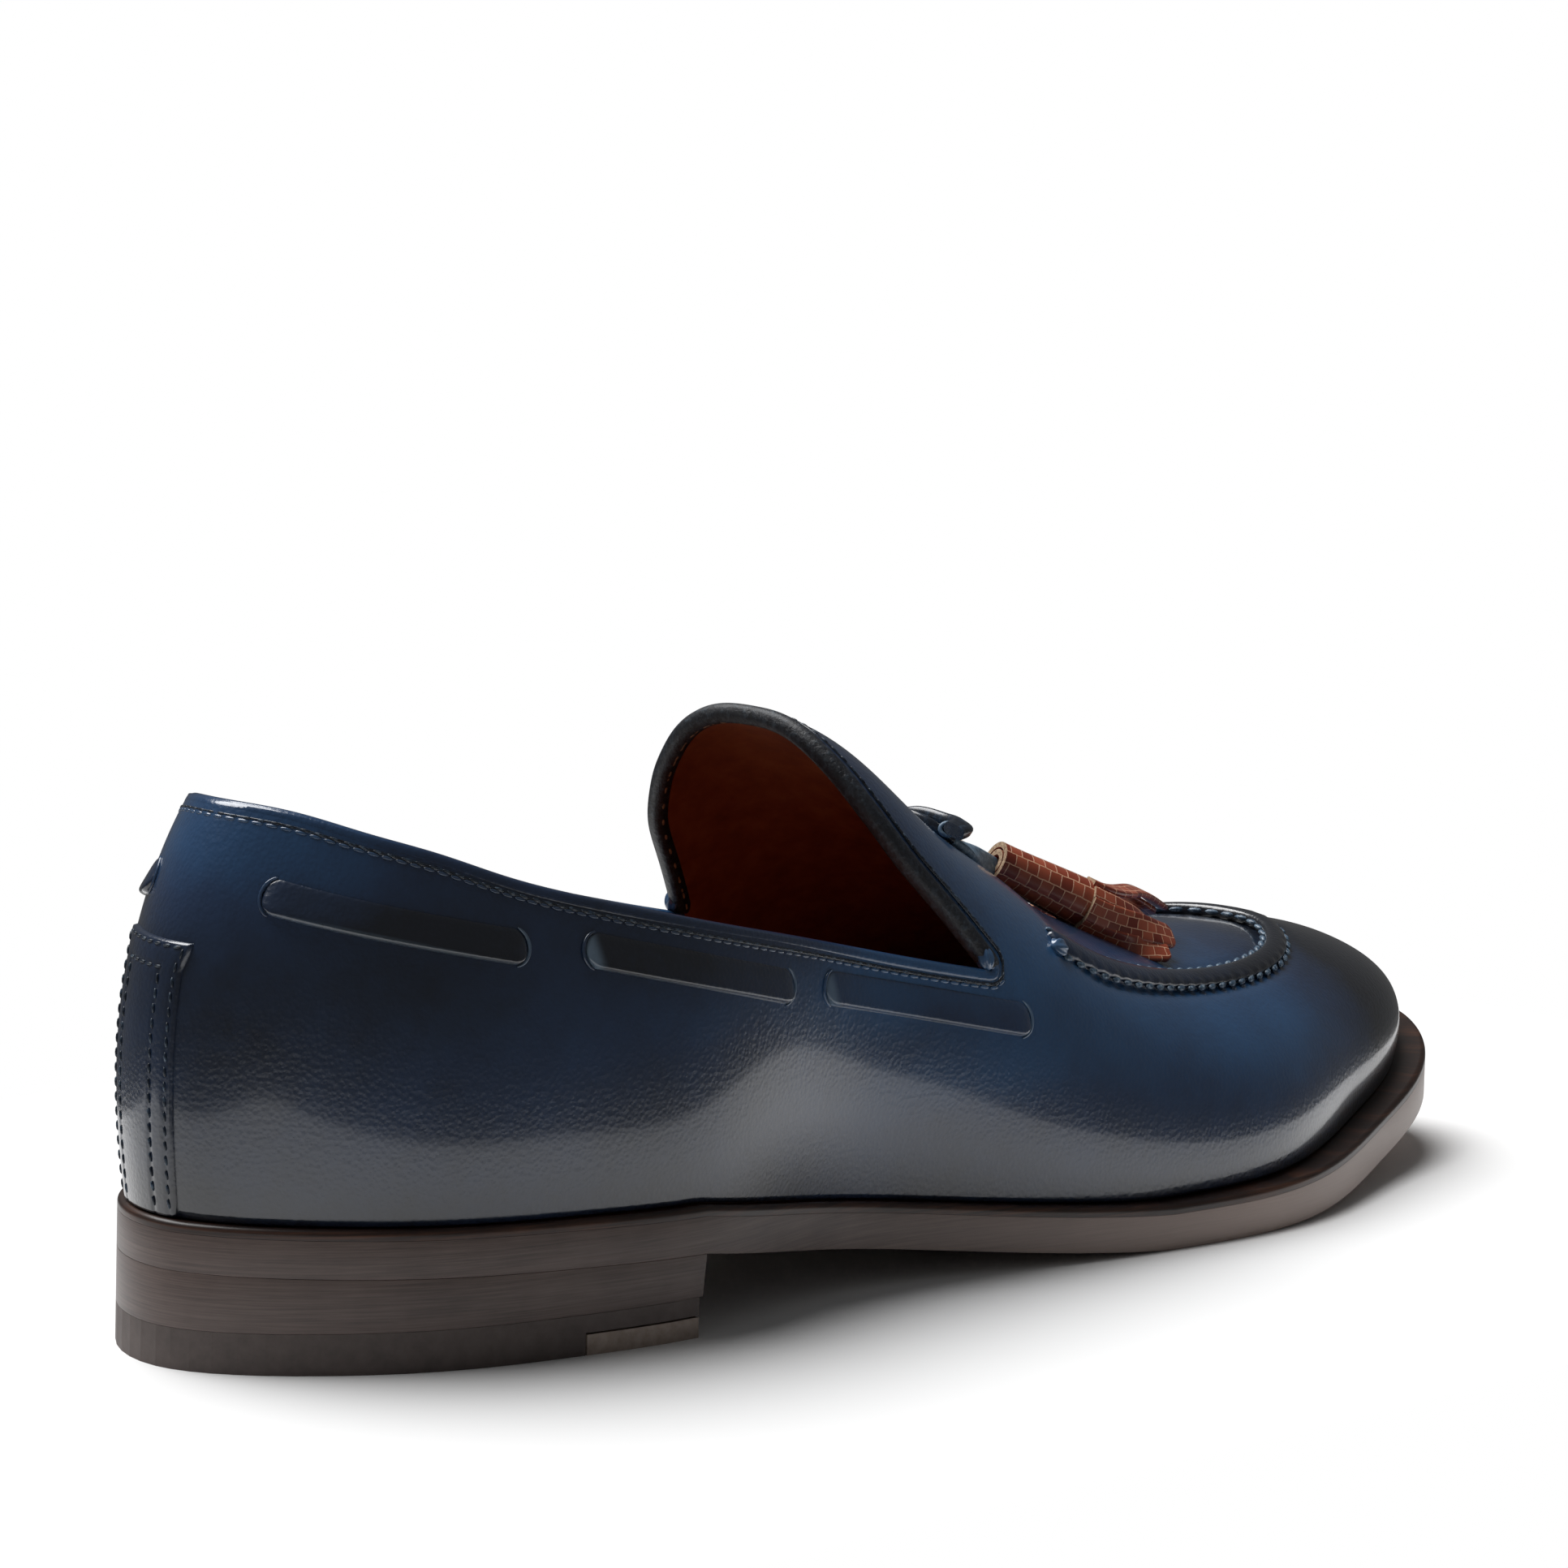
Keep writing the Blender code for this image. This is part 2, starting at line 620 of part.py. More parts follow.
def smooth_path(points, count):
    points = np.asarray(points)
    steps = np.linalg.norm(np.diff(points, axis=0), axis=1)
    travel = np.concatenate([[0], np.cumsum(steps)])
    return cubic(travel, points, np.linspace(0, travel[-1], count))


def make_tassel(name, side_name, finish):
    """A rolled strip of leather whose lower half is cut into strips that fan out on the vamp."""
    way = -1 if side_name == "lateral" else 1
    head_row, body_row = tassel_rows[side_name]
    radius = tassel_head_diameter / 2
    head, body = (vamp_place((x, y, share * tassel_head_diameter)) for x, y, share in (head_row, body_row))
    up = np.array(vamp_up)
    bm = bmesh.new()
    path = smooth_path([head, (head + body) / 2 + up * tassel_bow, body], len(roll_rows))
    wide, deep = radius * np.array(roll_rows).T
    tube_mesh(bm, path, wide, deep, roll_sides, up)
    tassel = finish_mesh(name, bm, finish)
    strips = bmesh.new()
    ahead = (body - head) / np.linalg.norm(body - head)
    layer = tassel_strip_thickness + gap
    corner = math.sqrt(2)
    for x, y, high in strip_rows:
        tip = vamp_place((x, y * way, gap + tip_clear + tassel_strip_thickness / 2 + high * layer))
        bend_x = body_row[0] + strip_bend_share * (x - body_row[0])
        bend_y = body_row[1] + strip_bend_share * (y * way - body_row[1])
        clear = gap + bend_clear + tassel_strip_thickness / 2 + (high + 0.35) * layer
        rest = vamp_place((bend_x, bend_y, clear))
        root = body - ahead * strip_root + up * (high - 0.9) * strip_root_rise
        path = smooth_path([root, rest, tip], strip_steps)
        taper = np.append(np.linspace(strip_root_share, 0.96, strip_steps - 1), strip_tip_share)
        tube_mesh(strips, path, taper * tassel_strip_width / corner,
                  np.full(strip_steps, tassel_strip_thickness / corner), 4, up)
    fringe = finish_mesh(name + "_strips", strips, finish)
    fringe.hide_render = True
    fringe.display_type = "WIRE"
    join = tassel.modifiers.new("fuse_strips", "BOOLEAN")
    join.operation = "UNION"
    join.use_self = True
    join.object = fringe


def make_lace_end(name, rows, finish):
    """Free end of the lace, from its eyelet over the instep to its tassel."""
    points = np.stack([vamp_place((x, y, clear * mm + lace_thickness / 2)) for x, y, clear in rows])
    path = smooth_path(points, lace_steps)
    curve = bpy.data.curves.new(name, "CURVE")
    curve.dimensions = "3D"
    curve.bevel_depth = lace_thickness / 2
    curve.bevel_resolution = 2
    curve.use_fill_caps = True
    line = curve.splines.new("POLY")
    line.points.add(len(path) - 1)
    for point, place in zip(line.points, path.tolist()):
        point.co = (*place, 1)
    add_object(name, curve, finish)


def centre_all():
    """Move everything so that the middle of the whole shoe's footprint is at the origin."""
    parts = list(bpy.context.scene.objects)
    solids = [part for part in parts if part.type == "MESH" and not part.hide_render]
    places = np.array([vert.co for part in solids for vert in part.data.vertices])
    low, high = places.min(axis=0), places.max(axis=0)
    move = Matrix.Translation((-(low[0] + high[0]) / 2, -(low[1] + high[1]) / 2, 0))
    for part in parts:
        part.data.transform(move)


def main():
    for old in list(bpy.data.objects):
        bpy.data.objects.remove(old, do_unlink=True)
    sole_leather = material("sole_leather", (0.075, 0.047, 0.038), 0.55)
    welt_leather = material("welt_leather", (0.030, 0.016, 0.012), 0.45)
    lift_rubber = material("lift_rubber", (0.030, 0.024, 0.022), 0.70)
    calf = material("navy_calf", (0.012, 0.026, 0.060), 0.30)
    lining = material("tan_lining", (0.150, 0.045, 0.016), 0.60)
    lace = material("blue_lace", (0.047, 0.086, 0.150), 0.55)
    embossed = material("red_brown_embossed_calf", (0.110, 0.020, 0.010), 0.35)
    make_outsole(sole_leather)
    make_welt(welt_leather)
    make_heel({"stack": sole_leather, "lift": lift_rubber, "lift_front": sole_leather})
    make_insole(lining)
    make_upper(calf)
    make_back_strap(calf)
    make_apron_seam(calf)
    for side, side_name in ((-1, "lateral"), (1, "medial")):
        for number, row in enumerate(bar_rows, 1):
            make_bar(f"lace_bar_{side_name}_{number}", side, row, calf)
        make_lace_end(f"lace_end_{side_name}", lace_rows[side_name], lace)
        make_tassel(f"tassel_{side_name}", side_name, embossed)
    centre_all()


main()
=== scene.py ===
import math

import bmesh
import bpy
import numpy as np
from mathutils import Matrix, Vector


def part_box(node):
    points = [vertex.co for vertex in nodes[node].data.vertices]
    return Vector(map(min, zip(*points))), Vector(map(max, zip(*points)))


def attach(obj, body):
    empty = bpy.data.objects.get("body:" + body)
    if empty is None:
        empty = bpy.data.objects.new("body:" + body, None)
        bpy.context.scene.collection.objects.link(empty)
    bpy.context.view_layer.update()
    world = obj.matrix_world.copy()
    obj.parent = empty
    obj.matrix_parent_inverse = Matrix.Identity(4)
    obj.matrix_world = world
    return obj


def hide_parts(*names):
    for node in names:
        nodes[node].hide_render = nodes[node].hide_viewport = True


# Looks of a right tassel loafer: navy calf over a leather sole. Metres, toe along +X, +Y medial.
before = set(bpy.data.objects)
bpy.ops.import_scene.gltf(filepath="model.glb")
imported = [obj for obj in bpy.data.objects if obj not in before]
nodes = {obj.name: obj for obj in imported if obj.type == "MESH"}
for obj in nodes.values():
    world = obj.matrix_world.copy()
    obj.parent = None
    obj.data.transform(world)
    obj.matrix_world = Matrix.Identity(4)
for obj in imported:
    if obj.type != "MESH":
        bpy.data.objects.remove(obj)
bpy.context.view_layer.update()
mm = 0.001

# the last, with the CAD's own sizes, from which every surface below is worked out
last = {
    "soleLength": 0.300, "ballWidth": 0.104, "heelHeight": 0.0133, "heelRake": 0.0022,
    "heelSlant": 0.0015, "toeSpring": 0.0138, "outsoleThick": 0.0060, "liftThick": 0.0065,
    "weltHeight": 0.0014, "weltBand": 0.0090, "toeMargin": 0.0055, "instepHeight": 0.0906,
    "collarHeight": 0.0868, "tongueReach": 0.0235, "sideBulge": 0.0050, "gap": 0.0003,
    "breast": 0.264, "ballStart": 0.620, "ballEnd": 0.667, "throat": 0.506, "medialThroat": 0.490,
    "throatBlend": 0.100, "heelCentre": 0.110, "toeCentre": 0.872, "centreBlend": 0.045,
    "shankPower": 1.25,
}
sideSigns = {"lateral": -1, "medial": 1}
# outline of the sole: share of length, share of ball width (lateral is negative)
soleRows = [
    (0.000, 0.000), (0.044, -0.190), (0.114, -0.308), (0.180, -0.358), (0.270, -0.388),
    (0.400, -0.334), (0.520, -0.402), (0.630, -0.461), (0.740, -0.459), (0.850, -0.347),
    (0.930, -0.245), (0.985, -0.099), (1.000, 0.020), (0.985, 0.145), (0.930, 0.336),
    (0.850, 0.455), (0.760, 0.508), (0.680, 0.503), (0.560, 0.413), (0.430, 0.295),
    (0.300, 0.300), (0.180, 0.315), (0.100, 0.295), (0.030, 0.190),
]
# how far the upper stands in from the sole's edge: share of length, share of toeMargin
marginRows = [
    (0.0, 0.34), (0.10, 0.28), (0.27, 0.34), (0.45, 0.42), (0.62, 0.74), (0.85, 0.94), (1.0, 1.0),
]
# top of the vamp: share of length, share of instepHeight
ridgeRows = [
    (0.000, 1.180), (0.250, 1.170), (0.340, 1.100), (0.385, 1.028), (0.428, 1.000),
    (0.467, 0.948), (0.495, 0.886), (0.550, 0.762), (0.600, 0.664), (0.633, 0.606),
    (0.667, 0.558), (0.700, 0.524), (0.733, 0.502), (0.773, 0.488), (0.810, 0.480),
    (0.840, 0.471), (0.870, 0.459), (0.900, 0.437),
]
# middle line of the vamp: share of length, share of ballWidth
middleRows = [(0.0, 0.0), (0.55, 0.0), (0.75, 0.008), (1.0, 0.020)]
# shape of the sections: share of length, power of the plan, share of sideBulge
sectionRows = [
    (0.00, 1.18, 0.80), (0.10, 1.18, 0.74), (0.18, 1.16, 0.77), (0.28, 1.07, 0.86),
    (0.38, 0.77, 1.03), (0.50, 0.77, 0.74), (0.62, 0.96, 0.50), (0.75, 0.96, 0.38),
    (0.88, 0.79, 0.42), (1.00, 0.71, 0.28),
]
# top edge of the quarters: share of length, share of collarHeight
collarRows = [
    (0.000, 1.005), (0.030, 0.991), (0.072, 0.953), (0.113, 0.912), (0.150, 0.865),
    (0.193, 0.821), (0.240, 0.780), (0.288, 0.740), (0.337, 0.701), (0.390, 0.657),
    (0.443, 0.613), (0.506, 0.566),
]
# edge of the tongue: share of the way up from the throat's corner, share of tongueReach
tongueRows = [
    (0.00, 0.00), (0.14, 0.38), (0.22, 0.60), (0.32, 0.745), (0.39, 0.82), (0.49, 0.89),
    (0.62, 0.96), (0.75, 0.99), (1.00, 1.00),
]
# raised seam round the apron: share of length, share of ballWidth out from the middle line
apronRows = [
    (0.574, 0.290), (0.604, 0.294), (0.640, 0.287), (0.687, 0.270), (0.740, 0.248),
    (0.790, 0.216), (0.830, 0.160), (0.853, 0.078), (0.858, 0.000),
]


def cubicRows(knots, values, at):
    # natural cubic spline through rows of values at the knots: second slopes come from one linear
    # system, then each span is its cubic in the distance from its two knots
    knots = np.asarray(knots, float)
    values = np.asarray(values, float).reshape(len(knots), -1)
    at = np.asarray(at, float)
    step = np.diff(knots)
    slope = np.diff(values, axis=0) / step[:, None]
    matrix = np.eye(len(knots))
    right = np.zeros_like(values)
    inner = np.arange(1, len(knots) - 1)
    matrix[inner, inner - 1] = step[:-1]
    matrix[inner, inner] = 2 * (step[:-1] + step[1:])
    matrix[inner, inner + 1] = step[1:]
    right[inner] = 6 * (slope[1:] - slope[:-1])
    bend = np.linalg.solve(matrix, right)
    k = np.clip(np.searchsorted(knots, at, side="right") - 1, 0, len(step) - 1)
    width = step[k][..., None]
    before = (at - knots[k])[..., None]
    after = width - before
    curve = (bend[k] * after ** 3 + bend[k + 1] * before ** 3) / (6 * width)
    curve += (values[k] / width - bend[k] * width / 6) * after
    curve += (values[k + 1] / width - bend[k + 1] * width / 6) * before
    return curve


def readRows(rows, x, unit):
    # column 1 of rows times unit, smoothly, at the places x along the sole
    rows = np.asarray(rows)
    share = np.clip(np.asarray(x) / last["soleLength"], rows[0, 0], rows[-1, 0])
    return cubicRows(rows[:, 0], rows[:, 1], share)[..., 0] * unit


def lengths(points):
    # distance travelled along a line of points
    steps = np.linalg.norm(np.diff(points, axis=0), axis=1)
    return np.concatenate([[0], np.cumsum(steps)])


def unit(vectors):
    return vectors / np.maximum(np.linalg.norm(vectors, axis=-1, keepdims=True), 1e-12)


def smoothStep(low, high, value):
    share = np.clip((value - low) / (high - low), 0, 1)
    return share * share * (3 - 2 * share)


def roundOver(distance, radius, most=1.0):
    # quarter circle from 0 at an edge to 1 at the radius; most under 1 starts it higher
    return np.sqrt(np.clip(1 - np.clip(1 - distance / radius, 0, most) ** 2, 0, 1))


def valuesAlong(at, travel, values):
    # each column of values, known at the distances travel, read at the distances at
    return np.stack([np.interp(at, travel, column) for column in values.T], axis=1)


def stretchWhere(keep):
    # places of the one unbroken stretch of a closed line where keep holds, in order
    first = int(np.argmax(keep & ~np.roll(keep, 1)))
    return (np.arange(keep.sum()) + first) % len(keep)


def closedOutline(count):
    # the sole's rows as one smooth closed line, equal steps apart
    points = np.asarray(soleRows) * (last["soleLength"], last["ballWidth"])
    around = np.vstack([points, points, points, points[:1]])
    travel = lengths(around)
    start, end = travel[len(points)], travel[2 * len(points)]
    return cubicRows(travel, around, np.linspace(start, end, count, endpoint=False))


def inward(outline, distance):
    # each point of the outline moved along its inward normal
    ahead = unit(np.roll(outline, -1, axis=0) - np.roll(outline, 1, axis=0))
    left = np.stack([-ahead[:, 1], ahead[:, 0]], axis=1)
    return outline + left * np.asarray(distance)[..., None]


def sideLine(outline, side):
    back = int(np.argmin(outline[:, 0]))
    turned = np.roll(outline, -back, axis=0)
    front = int(np.argmax(turned[:, 0]))
    if side < 0:
        return turned[:front + 1]
    return np.vstack([turned[front:], turned[:1]])[::-1]


def marginAt(x):
    return readRows(marginRows, x, last["toeMargin"])


soleLine = closedOutline(720)
featherLine = inward(soleLine, marginAt(soleLine[:, 0]))
featherSides = {side: sideLine(featherLine, side) for side in (-1, 1)}
throatX = last["throat"] * last["soleLength"]
throats = {-1: throatX, 1: last["medialThroat"] * last["soleLength"]}
bulgePeak = math.sin(math.radians(30)) * math.cos(math.radians(30)) ** 3
# the CAD stands on the middle of its own footprint: its outsole and welt say how far it was moved
weltSample = soleLine[::8, 1]
shift = np.array([
    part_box("outsole")[1][0] - soleLine[:, 0].max(),
    (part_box("welt")[0][1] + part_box("welt")[1][1] - weltSample.min() - weltSample.max()) / 2,
    0.0,
])


def soleBottom(x):
    # raked heel seat, shank falling by a power, flat ball, then toe spring as a square
    x = np.asarray(x, float)
    breast = last["breast"] * last["soleLength"]
    start, end = last["ballStart"] * last["soleLength"], last["ballEnd"] * last["soleLength"]
    seat = last["heelHeight"] + last["heelRake"] * np.clip(1 - x / breast, 0, 1)
    arch = np.clip((start - x) / (start - breast), 0, 1)
    toe = np.clip((x - end) / (last["soleLength"] - end), 0, None)
    shank = last["heelHeight"] * arch ** last["shankPower"]
    return np.where(x < breast, seat, shank) + last["toeSpring"] * toe ** 2


def upperBottom(x):
    return soleBottom(x) + last["outsoleThick"] + last["weltHeight"] + 2 * last["gap"]


def middleX(x):
    heelX, toeX, blend = (last["soleLength"] * last[key]
                          for key in ("heelCentre", "toeCentre", "centreBlend"))
    x = np.asarray(x, float)
    low = np.clip(heelX + blend - x, 0, 2 * blend)
    high = np.clip(x - toeX + blend, 0, 2 * blend)
    return np.clip(x, heelX - blend, toeX + blend) + (low ** 2 - high ** 2) / (4 * blend)


def ridgeHeight(x):
    return readRows(ridgeRows, x, last["instepHeight"])


def lastPoint(x, side, angle):
    # plan point = top + (foot - top) cos(a)^power + outward bulge sin a cos^3 a; height rises from the
    # feather line to the ridge as sin a, and follows the ridge's slope as sin^2 a
    x, side, angle = np.broadcast_arrays(np.asarray(x, float), side, np.asarray(angle, float))
    footY = np.where(side < 0, np.interp(x, *featherSides[-1].T), np.interp(x, *featherSides[1].T))
    foot = np.stack([x, footY], axis=-1)
    topX = middleX(x)
    top = np.stack([topX, readRows(middleRows, topX, last["ballWidth"])], axis=-1)
    section = np.asarray(sectionRows)
    share = np.clip(x / last["soleLength"], 0, 1)
    power, bulge = np.moveaxis(cubicRows(section[:, 0], section[:, 1:], share), -1, 0)
    up, level = np.sin(angle), np.maximum(np.cos(angle), 0)
    swell = last["sideBulge"] * bulge * up * level ** 3 / bulgePeak
    plan = top + (foot - top) * (level ** power)[..., None] + unit(foot - top) * swell[..., None]
    ridge, low = ridgeHeight(topX), upperBottom(x)
    lean = (ridgeHeight(topX + mm) - ridgeHeight(topX - mm)) / (2 * mm)
    height = low + (ridge - low) * up + lean * (plan[..., 0] - topX) * up ** 2
    return np.concatenate([plan, height[..., None]], axis=-1)


def sideNormal(x, side, angle):
    along = lastPoint(x + 0.4 * mm, side, angle) - lastPoint(x - 0.4 * mm, side, angle)
    rise = lastPoint(x, side, angle + 0.004) - lastPoint(x, side, angle - 0.004)
    return unit(np.cross(along, rise) * -side[..., None])


def lastNormal(x, side, angle):
    # at the very heel and toe both sides share one normal, the mean of the two
    x, side, angle = np.broadcast_arrays(np.asarray(x, float), side, np.asarray(angle, float))
    normal = sideNormal(x, side, angle)
    fromEnd = np.minimum(x - featherLine[:, 0].min(), featherLine[:, 0].max() - x)
    share = smoothStep(0.9 * mm, 0.0, fromEnd)
    if share.max() == 0:
        return normal
    return unit(normal + sideNormal(x, -side, angle) * share[..., None])


def lastFace(x, side, angle, distance):
    # a point of the last's face moved out along its normal
    return lastPoint(x, side, angle) + lastNormal(x, side, angle) * np.asarray(distance)[..., None]


def angleAt(x, height):
    low, ridge = upperBottom(x), ridgeHeight(middleX(x))
    return np.arcsin(np.clip((height - low) / (ridge - low), 0, 1))


def collarAngle(x):
    return angleAt(x, readRows(collarRows, x, last["collarHeight"]))


def tongueBack(up):
    # how far behind the throat the tongue's edge lies, at shares of the way up to the ridge
    rows = np.asarray(tongueRows)
    return last["tongueReach"] * cubicRows(rows[:, 0], rows[:, 1], up)[:, 0]


def quarterShares(count):
    # steps from the heel's back to the throat, shortest round the heel
    return (1 - np.cos(np.linspace(0, math.pi / 2, count))) ** 0.85


def featherX(travel, side):
    # place along the sole of a point a distance along the feather line from the heel's back
    lines = {way: (lengths(line), line[:, 0]) for way, line in featherSides.items()}
    return np.where(np.asarray(side) < 0, np.interp(travel, *lines[-1]), np.interp(travel, *lines[1]))


def settle(plan):
    # which column and angle of the last lies over each plan point: Newton steps on the plan position
    plan = np.asarray(plan, float)
    side = np.where(plan[..., 1] < readRows(middleRows, plan[..., 0], last["ballWidth"]), -1.0, 1.0)
    x = plan[..., 0].copy()
    angle = np.full(x.shape, math.radians(60))
    for _ in range(26):
        here = lastPoint(x, side, angle)[..., :2]
        byX = (lastPoint(x + 0.1 * mm, side, angle)[..., :2] - here) / (0.1 * mm)
        byAngle = (lastPoint(x, side, angle - 0.001)[..., :2] - here) / -0.001
        miss = plan - here
        size = byX[..., 0] * byAngle[..., 1] - byX[..., 1] * byAngle[..., 0]
        size = np.where(np.abs(size) < 1e-6, -1e-6, size)
        xMove = (miss[..., 0] * byAngle[..., 1] - miss[..., 1] * byAngle[..., 0]) / size
        angleMove = (byX[..., 0] * miss[..., 1] - byX[..., 1] * miss[..., 0]) / size
        x = x + np.clip(xMove, -4 * mm, 4 * mm)
        angle = np.clip(angle + np.clip(angleMove, -0.2, 0.2), 0.2, math.pi / 2 - 0.002)
    return x, side, angle


def overVamp(plan, distance):
    x, side, angle = settle(plan)
    return lastFace(x, side, angle, distance)


def vampNormal(plan):
    return lastNormal(*settle(plan))


# colours and materials


def linear(text):
    # sRGB hex to linear: the standard curve, with its straight foot under 0.04045
    values = [int(text[i:i + 2], 16) / 255 for i in (1, 3, 5)]
    return tuple(v / 12.92 if v <= 0.04045 else ((v + 0.055) / 1.055) ** 2.4 for v in values) + (1.0,)


def addNode(tree, kind, settings=None, inputs=None):
    node = tree.nodes.new(kind)
    for key, value in (settings or {}).items():
        setattr(node, key, value)
    for key, value in (inputs or {}).items():
        if isinstance(value, bpy.types.NodeSocket):
            tree.links.new(value, node.inputs[key])
        else:
            node.inputs[key].default_value = value
    return node


def newMaterial(name, roughness, **sockets):
    made = bpy.data.materials.new(name)
    made.use_nodes = True
    shader = made.node_tree.nodes["Principled BSDF"]
    shader.inputs["Roughness"].default_value = roughness
    for key, value in sockets.items():
        shader.inputs[key.replace("_", " ")].default_value = value
    return made, made.node_tree, shader


def objectPlace(tree):
    return addNode(tree, "ShaderNodeTexCoord").outputs["Object"]


def attribute(tree, name):
    return addNode(tree, "ShaderNodeAttribute", {"attribute_name": name}).outputs["Fac"]


def noise(tree, place, size, detail, roughness=0.5):
    return addNode(tree, "ShaderNodeTexNoise", None, {
        "Vector": place, "Scale": 1 / size, "Detail": detail, "Roughness": roughness}).outputs["Fac"]


def addShare(tree, value, share, base):
    # base + share * value
    return addNode(tree, "ShaderNodeMath", {"operation": "MULTIPLY_ADD"},
                   {0: value, 1: share, 2: base}).outputs[0]


def rampColour(tree, tone, places, colours):
    node = addNode(tree, "ShaderNodeValToRGB", None, {"Fac": tone})
    elements = node.color_ramp.elements
    while len(elements) < len(places):
        elements.new(0.5)
    for element, place, colour in zip(elements, places, colours):
        element.position = place
        element.color = linear(colour)
    return node.outputs["Color"]


def mixColour(tree, share, colour, other):
    return addNode(tree, "ShaderNodeMix", {"data_type": "RGBA"},
                   {"Factor": share, 6: colour, 7: linear(other)}).outputs[2]


def finishShader(tree, shader, colour, height, strength, distance, invert=False):
    bump = addNode(tree, "ShaderNodeBump", {"invert": invert},
                   {"Height": height, "Strength": strength, "Distance": distance})
    tree.links.new(colour, shader.inputs["Base Color"])
    tree.links.new(bump.outputs["Normal"], shader.inputs["Normal"])


# calf, chrome tanned, hand dyed navy and glazed: near-black where it is burnished, clear blue where
# the dye is thin. Pores 0.75 mm apart give it a fine pebble, and wax a soft gloss
calfLook = {
    "dark": "#131822", "deep": "#223552", "blue": "#2d5680", "wearAndSheenTone": "#7d93a6",
    "stops": (0.20, 0.52, 0.92), "cloudSize": 22 * mm, "cloudShare": 0.42, "streakSize": 4.5 * mm,
    "streakShare": 0.14, "poreSize": 0.75 * mm, "poreSoft": 0.6, "grainSize": 0.3 * mm,
    "grainShare": 0.35, "bump": 0.31, "bumpHeight": 0.0002, "roughness": 0.28, "coat": 0.85,
    "coatRoughness": 0.11,
}


def makeCalf():
    # tone = dye patches, with painted shade at the feather edge, + share of clouds + share of streaks,
    # through a ramp; then a pale tone is mixed in, real wear on some pieces and a painted highlight on others
    look = calfLook
    made, tree, shader = newMaterial("glazed navy calf", look["roughness"], Coat_Weight=look["coat"],
                                     Coat_Roughness=look["coatRoughness"], IOR=1.5)
    place = objectPlace(tree)
    tone = addShare(tree, noise(tree, place, look["cloudSize"], 5.0, 0.62), look["cloudShare"],
                    attribute(tree, "patinaAndShade"))
    tone = addShare(tree, noise(tree, place, look["streakSize"], 4.0, 0.7), look["streakShare"], tone)
    colour = rampColour(tree, tone, look["stops"], (look["dark"], look["deep"], look["blue"]))
    # the pale tone: partly wear, partly painted highlight
    colour = mixColour(tree, attribute(tree, "wearAndSheen"), colour, look["wearAndSheenTone"])
    pores = addNode(tree, "ShaderNodeTexVoronoi", {"feature": "SMOOTH_F1"},
                    {"Vector": place, "Scale": 1 / look["poreSize"], "Smoothness": look["poreSoft"]})
    height = addShare(tree, noise(tree, place, look["grainSize"], 2.0), look["grainShare"],
                      pores.outputs["Distance"])
    finishShader(tree, shader, colour, height, look["bump"], look["bumpHeight"])
    return made


# sole bending leather, oak-bark tanned and stacked: the cut edge is trimmed, stained grey-brown and
# waxed, so fine fibre lines run along it
soleEdgeLook = {"dark": "#3b2e2a", "mid": "#50413c", "light": "#63534d", "layer": 0.32 * mm,
                "roughness": 0.42, "forepartTone": "#c0aca2", "lighter": 0.50}
# what both cut edges share: how flat the fibres lie, their clouds, and where the lighter forepart tone sets
# in
edgeLook = {"flat": 0.02, "stops": (0.45, 0.66, 0.92), "cloudSize": 9 * mm, "cloudShare": 0.35,
            "forepartFrom": -0.04, "forepartTo": 0.06, "bump": 0.25, "bumpHeight": 0.0001}


def makeSoleEdge(name, look):
    made, tree, shader = newMaterial(name, look["roughness"], Coat_Weight=0.15, Coat_Roughness=0.3)
    place = objectPlace(tree)
    flat = addNode(tree, "ShaderNodeMapping", None,
                   {"Vector": place, "Scale": (edgeLook["flat"], edgeLook["flat"], 1.0)})
    fibre = noise(tree, flat.outputs[0], look["layer"], 8.0, 0.68)
    tone = addShare(tree, noise(tree, place, edgeLook["cloudSize"], 3.0), edgeLook["cloudShare"], fibre)
    colour = rampColour(tree, tone, edgeLook["stops"], (look["dark"], look["mid"], look["light"]))
    # the edge grows lighter toward the forepart than at the heel: even growth along the sole
    ahead = addNode(tree, "ShaderNodeSeparateXYZ", None, {0: place})
    lighter = addNode(tree, "ShaderNodeMapRange", None, {
        "Value": ahead.outputs["X"], "From Min": edgeLook["forepartFrom"],
        "From Max": edgeLook["forepartTo"], "To Max": look["lighter"]})
    colour = mixColour(tree, lighter.outputs[0], colour, look["forepartTone"])
    finishShader(tree, shader, colour, fibre, edgeLook["bump"], edgeLook["bumpHeight"])
    return made


weltLook = {"dark": "#150c09", "mid": "#2c1a13", "light": "#553524", "layer": 0.5 * mm,
            "roughness": 0.38, "forepartTone": "#553524", "lighter": 0.0}
liftLook = {"dark": "#4a413e", "mid": "#524845", "light": "#594f4b", "layer": 3 * mm,
            "roughness": 0.6}
liftFrontLook = {"dark": "#887a70", "mid": "#998a80", "light": "#a6978c", "layer": 2 * mm,
                 "roughness": 0.5}

# lining calf, vegetable tanned and undyed on its flesh side: smooth, warm red-brown, hardly glossy
liningLook = {"dark": "#7a3c20", "mid": "#8a4928", "light": "#975733", "layer": 5 * mm,
              "roughness": 0.5}
# lace of calf, dyed through slate blue; its cut edges and rubbed face show the fibre
laceLook = {"dark": "#465c72", "mid": "#678095", "light": "#9db0be", "layer": 0.7 * mm,
            "roughness": 0.5}
# the laced stretches in the collar are glazed like the upper but dyed nearly black; the same dark material
# also fills the stitch groove and the eyelets' holes as painted shade
knotLook = {"dark": "#0d1219", "mid": "#1a2330", "light": "#34485d", "layer": 1.4 * mm,
            "roughness": 0.27}
# the tongue's turned edge, crumpled and burnished nearly black, with small painted glints
turnedLook = {"dark": "#0b0d12", "mid": "#171b24", "light": "#39454f", "layer": 1.1 * mm,
              "roughness": 0.5}
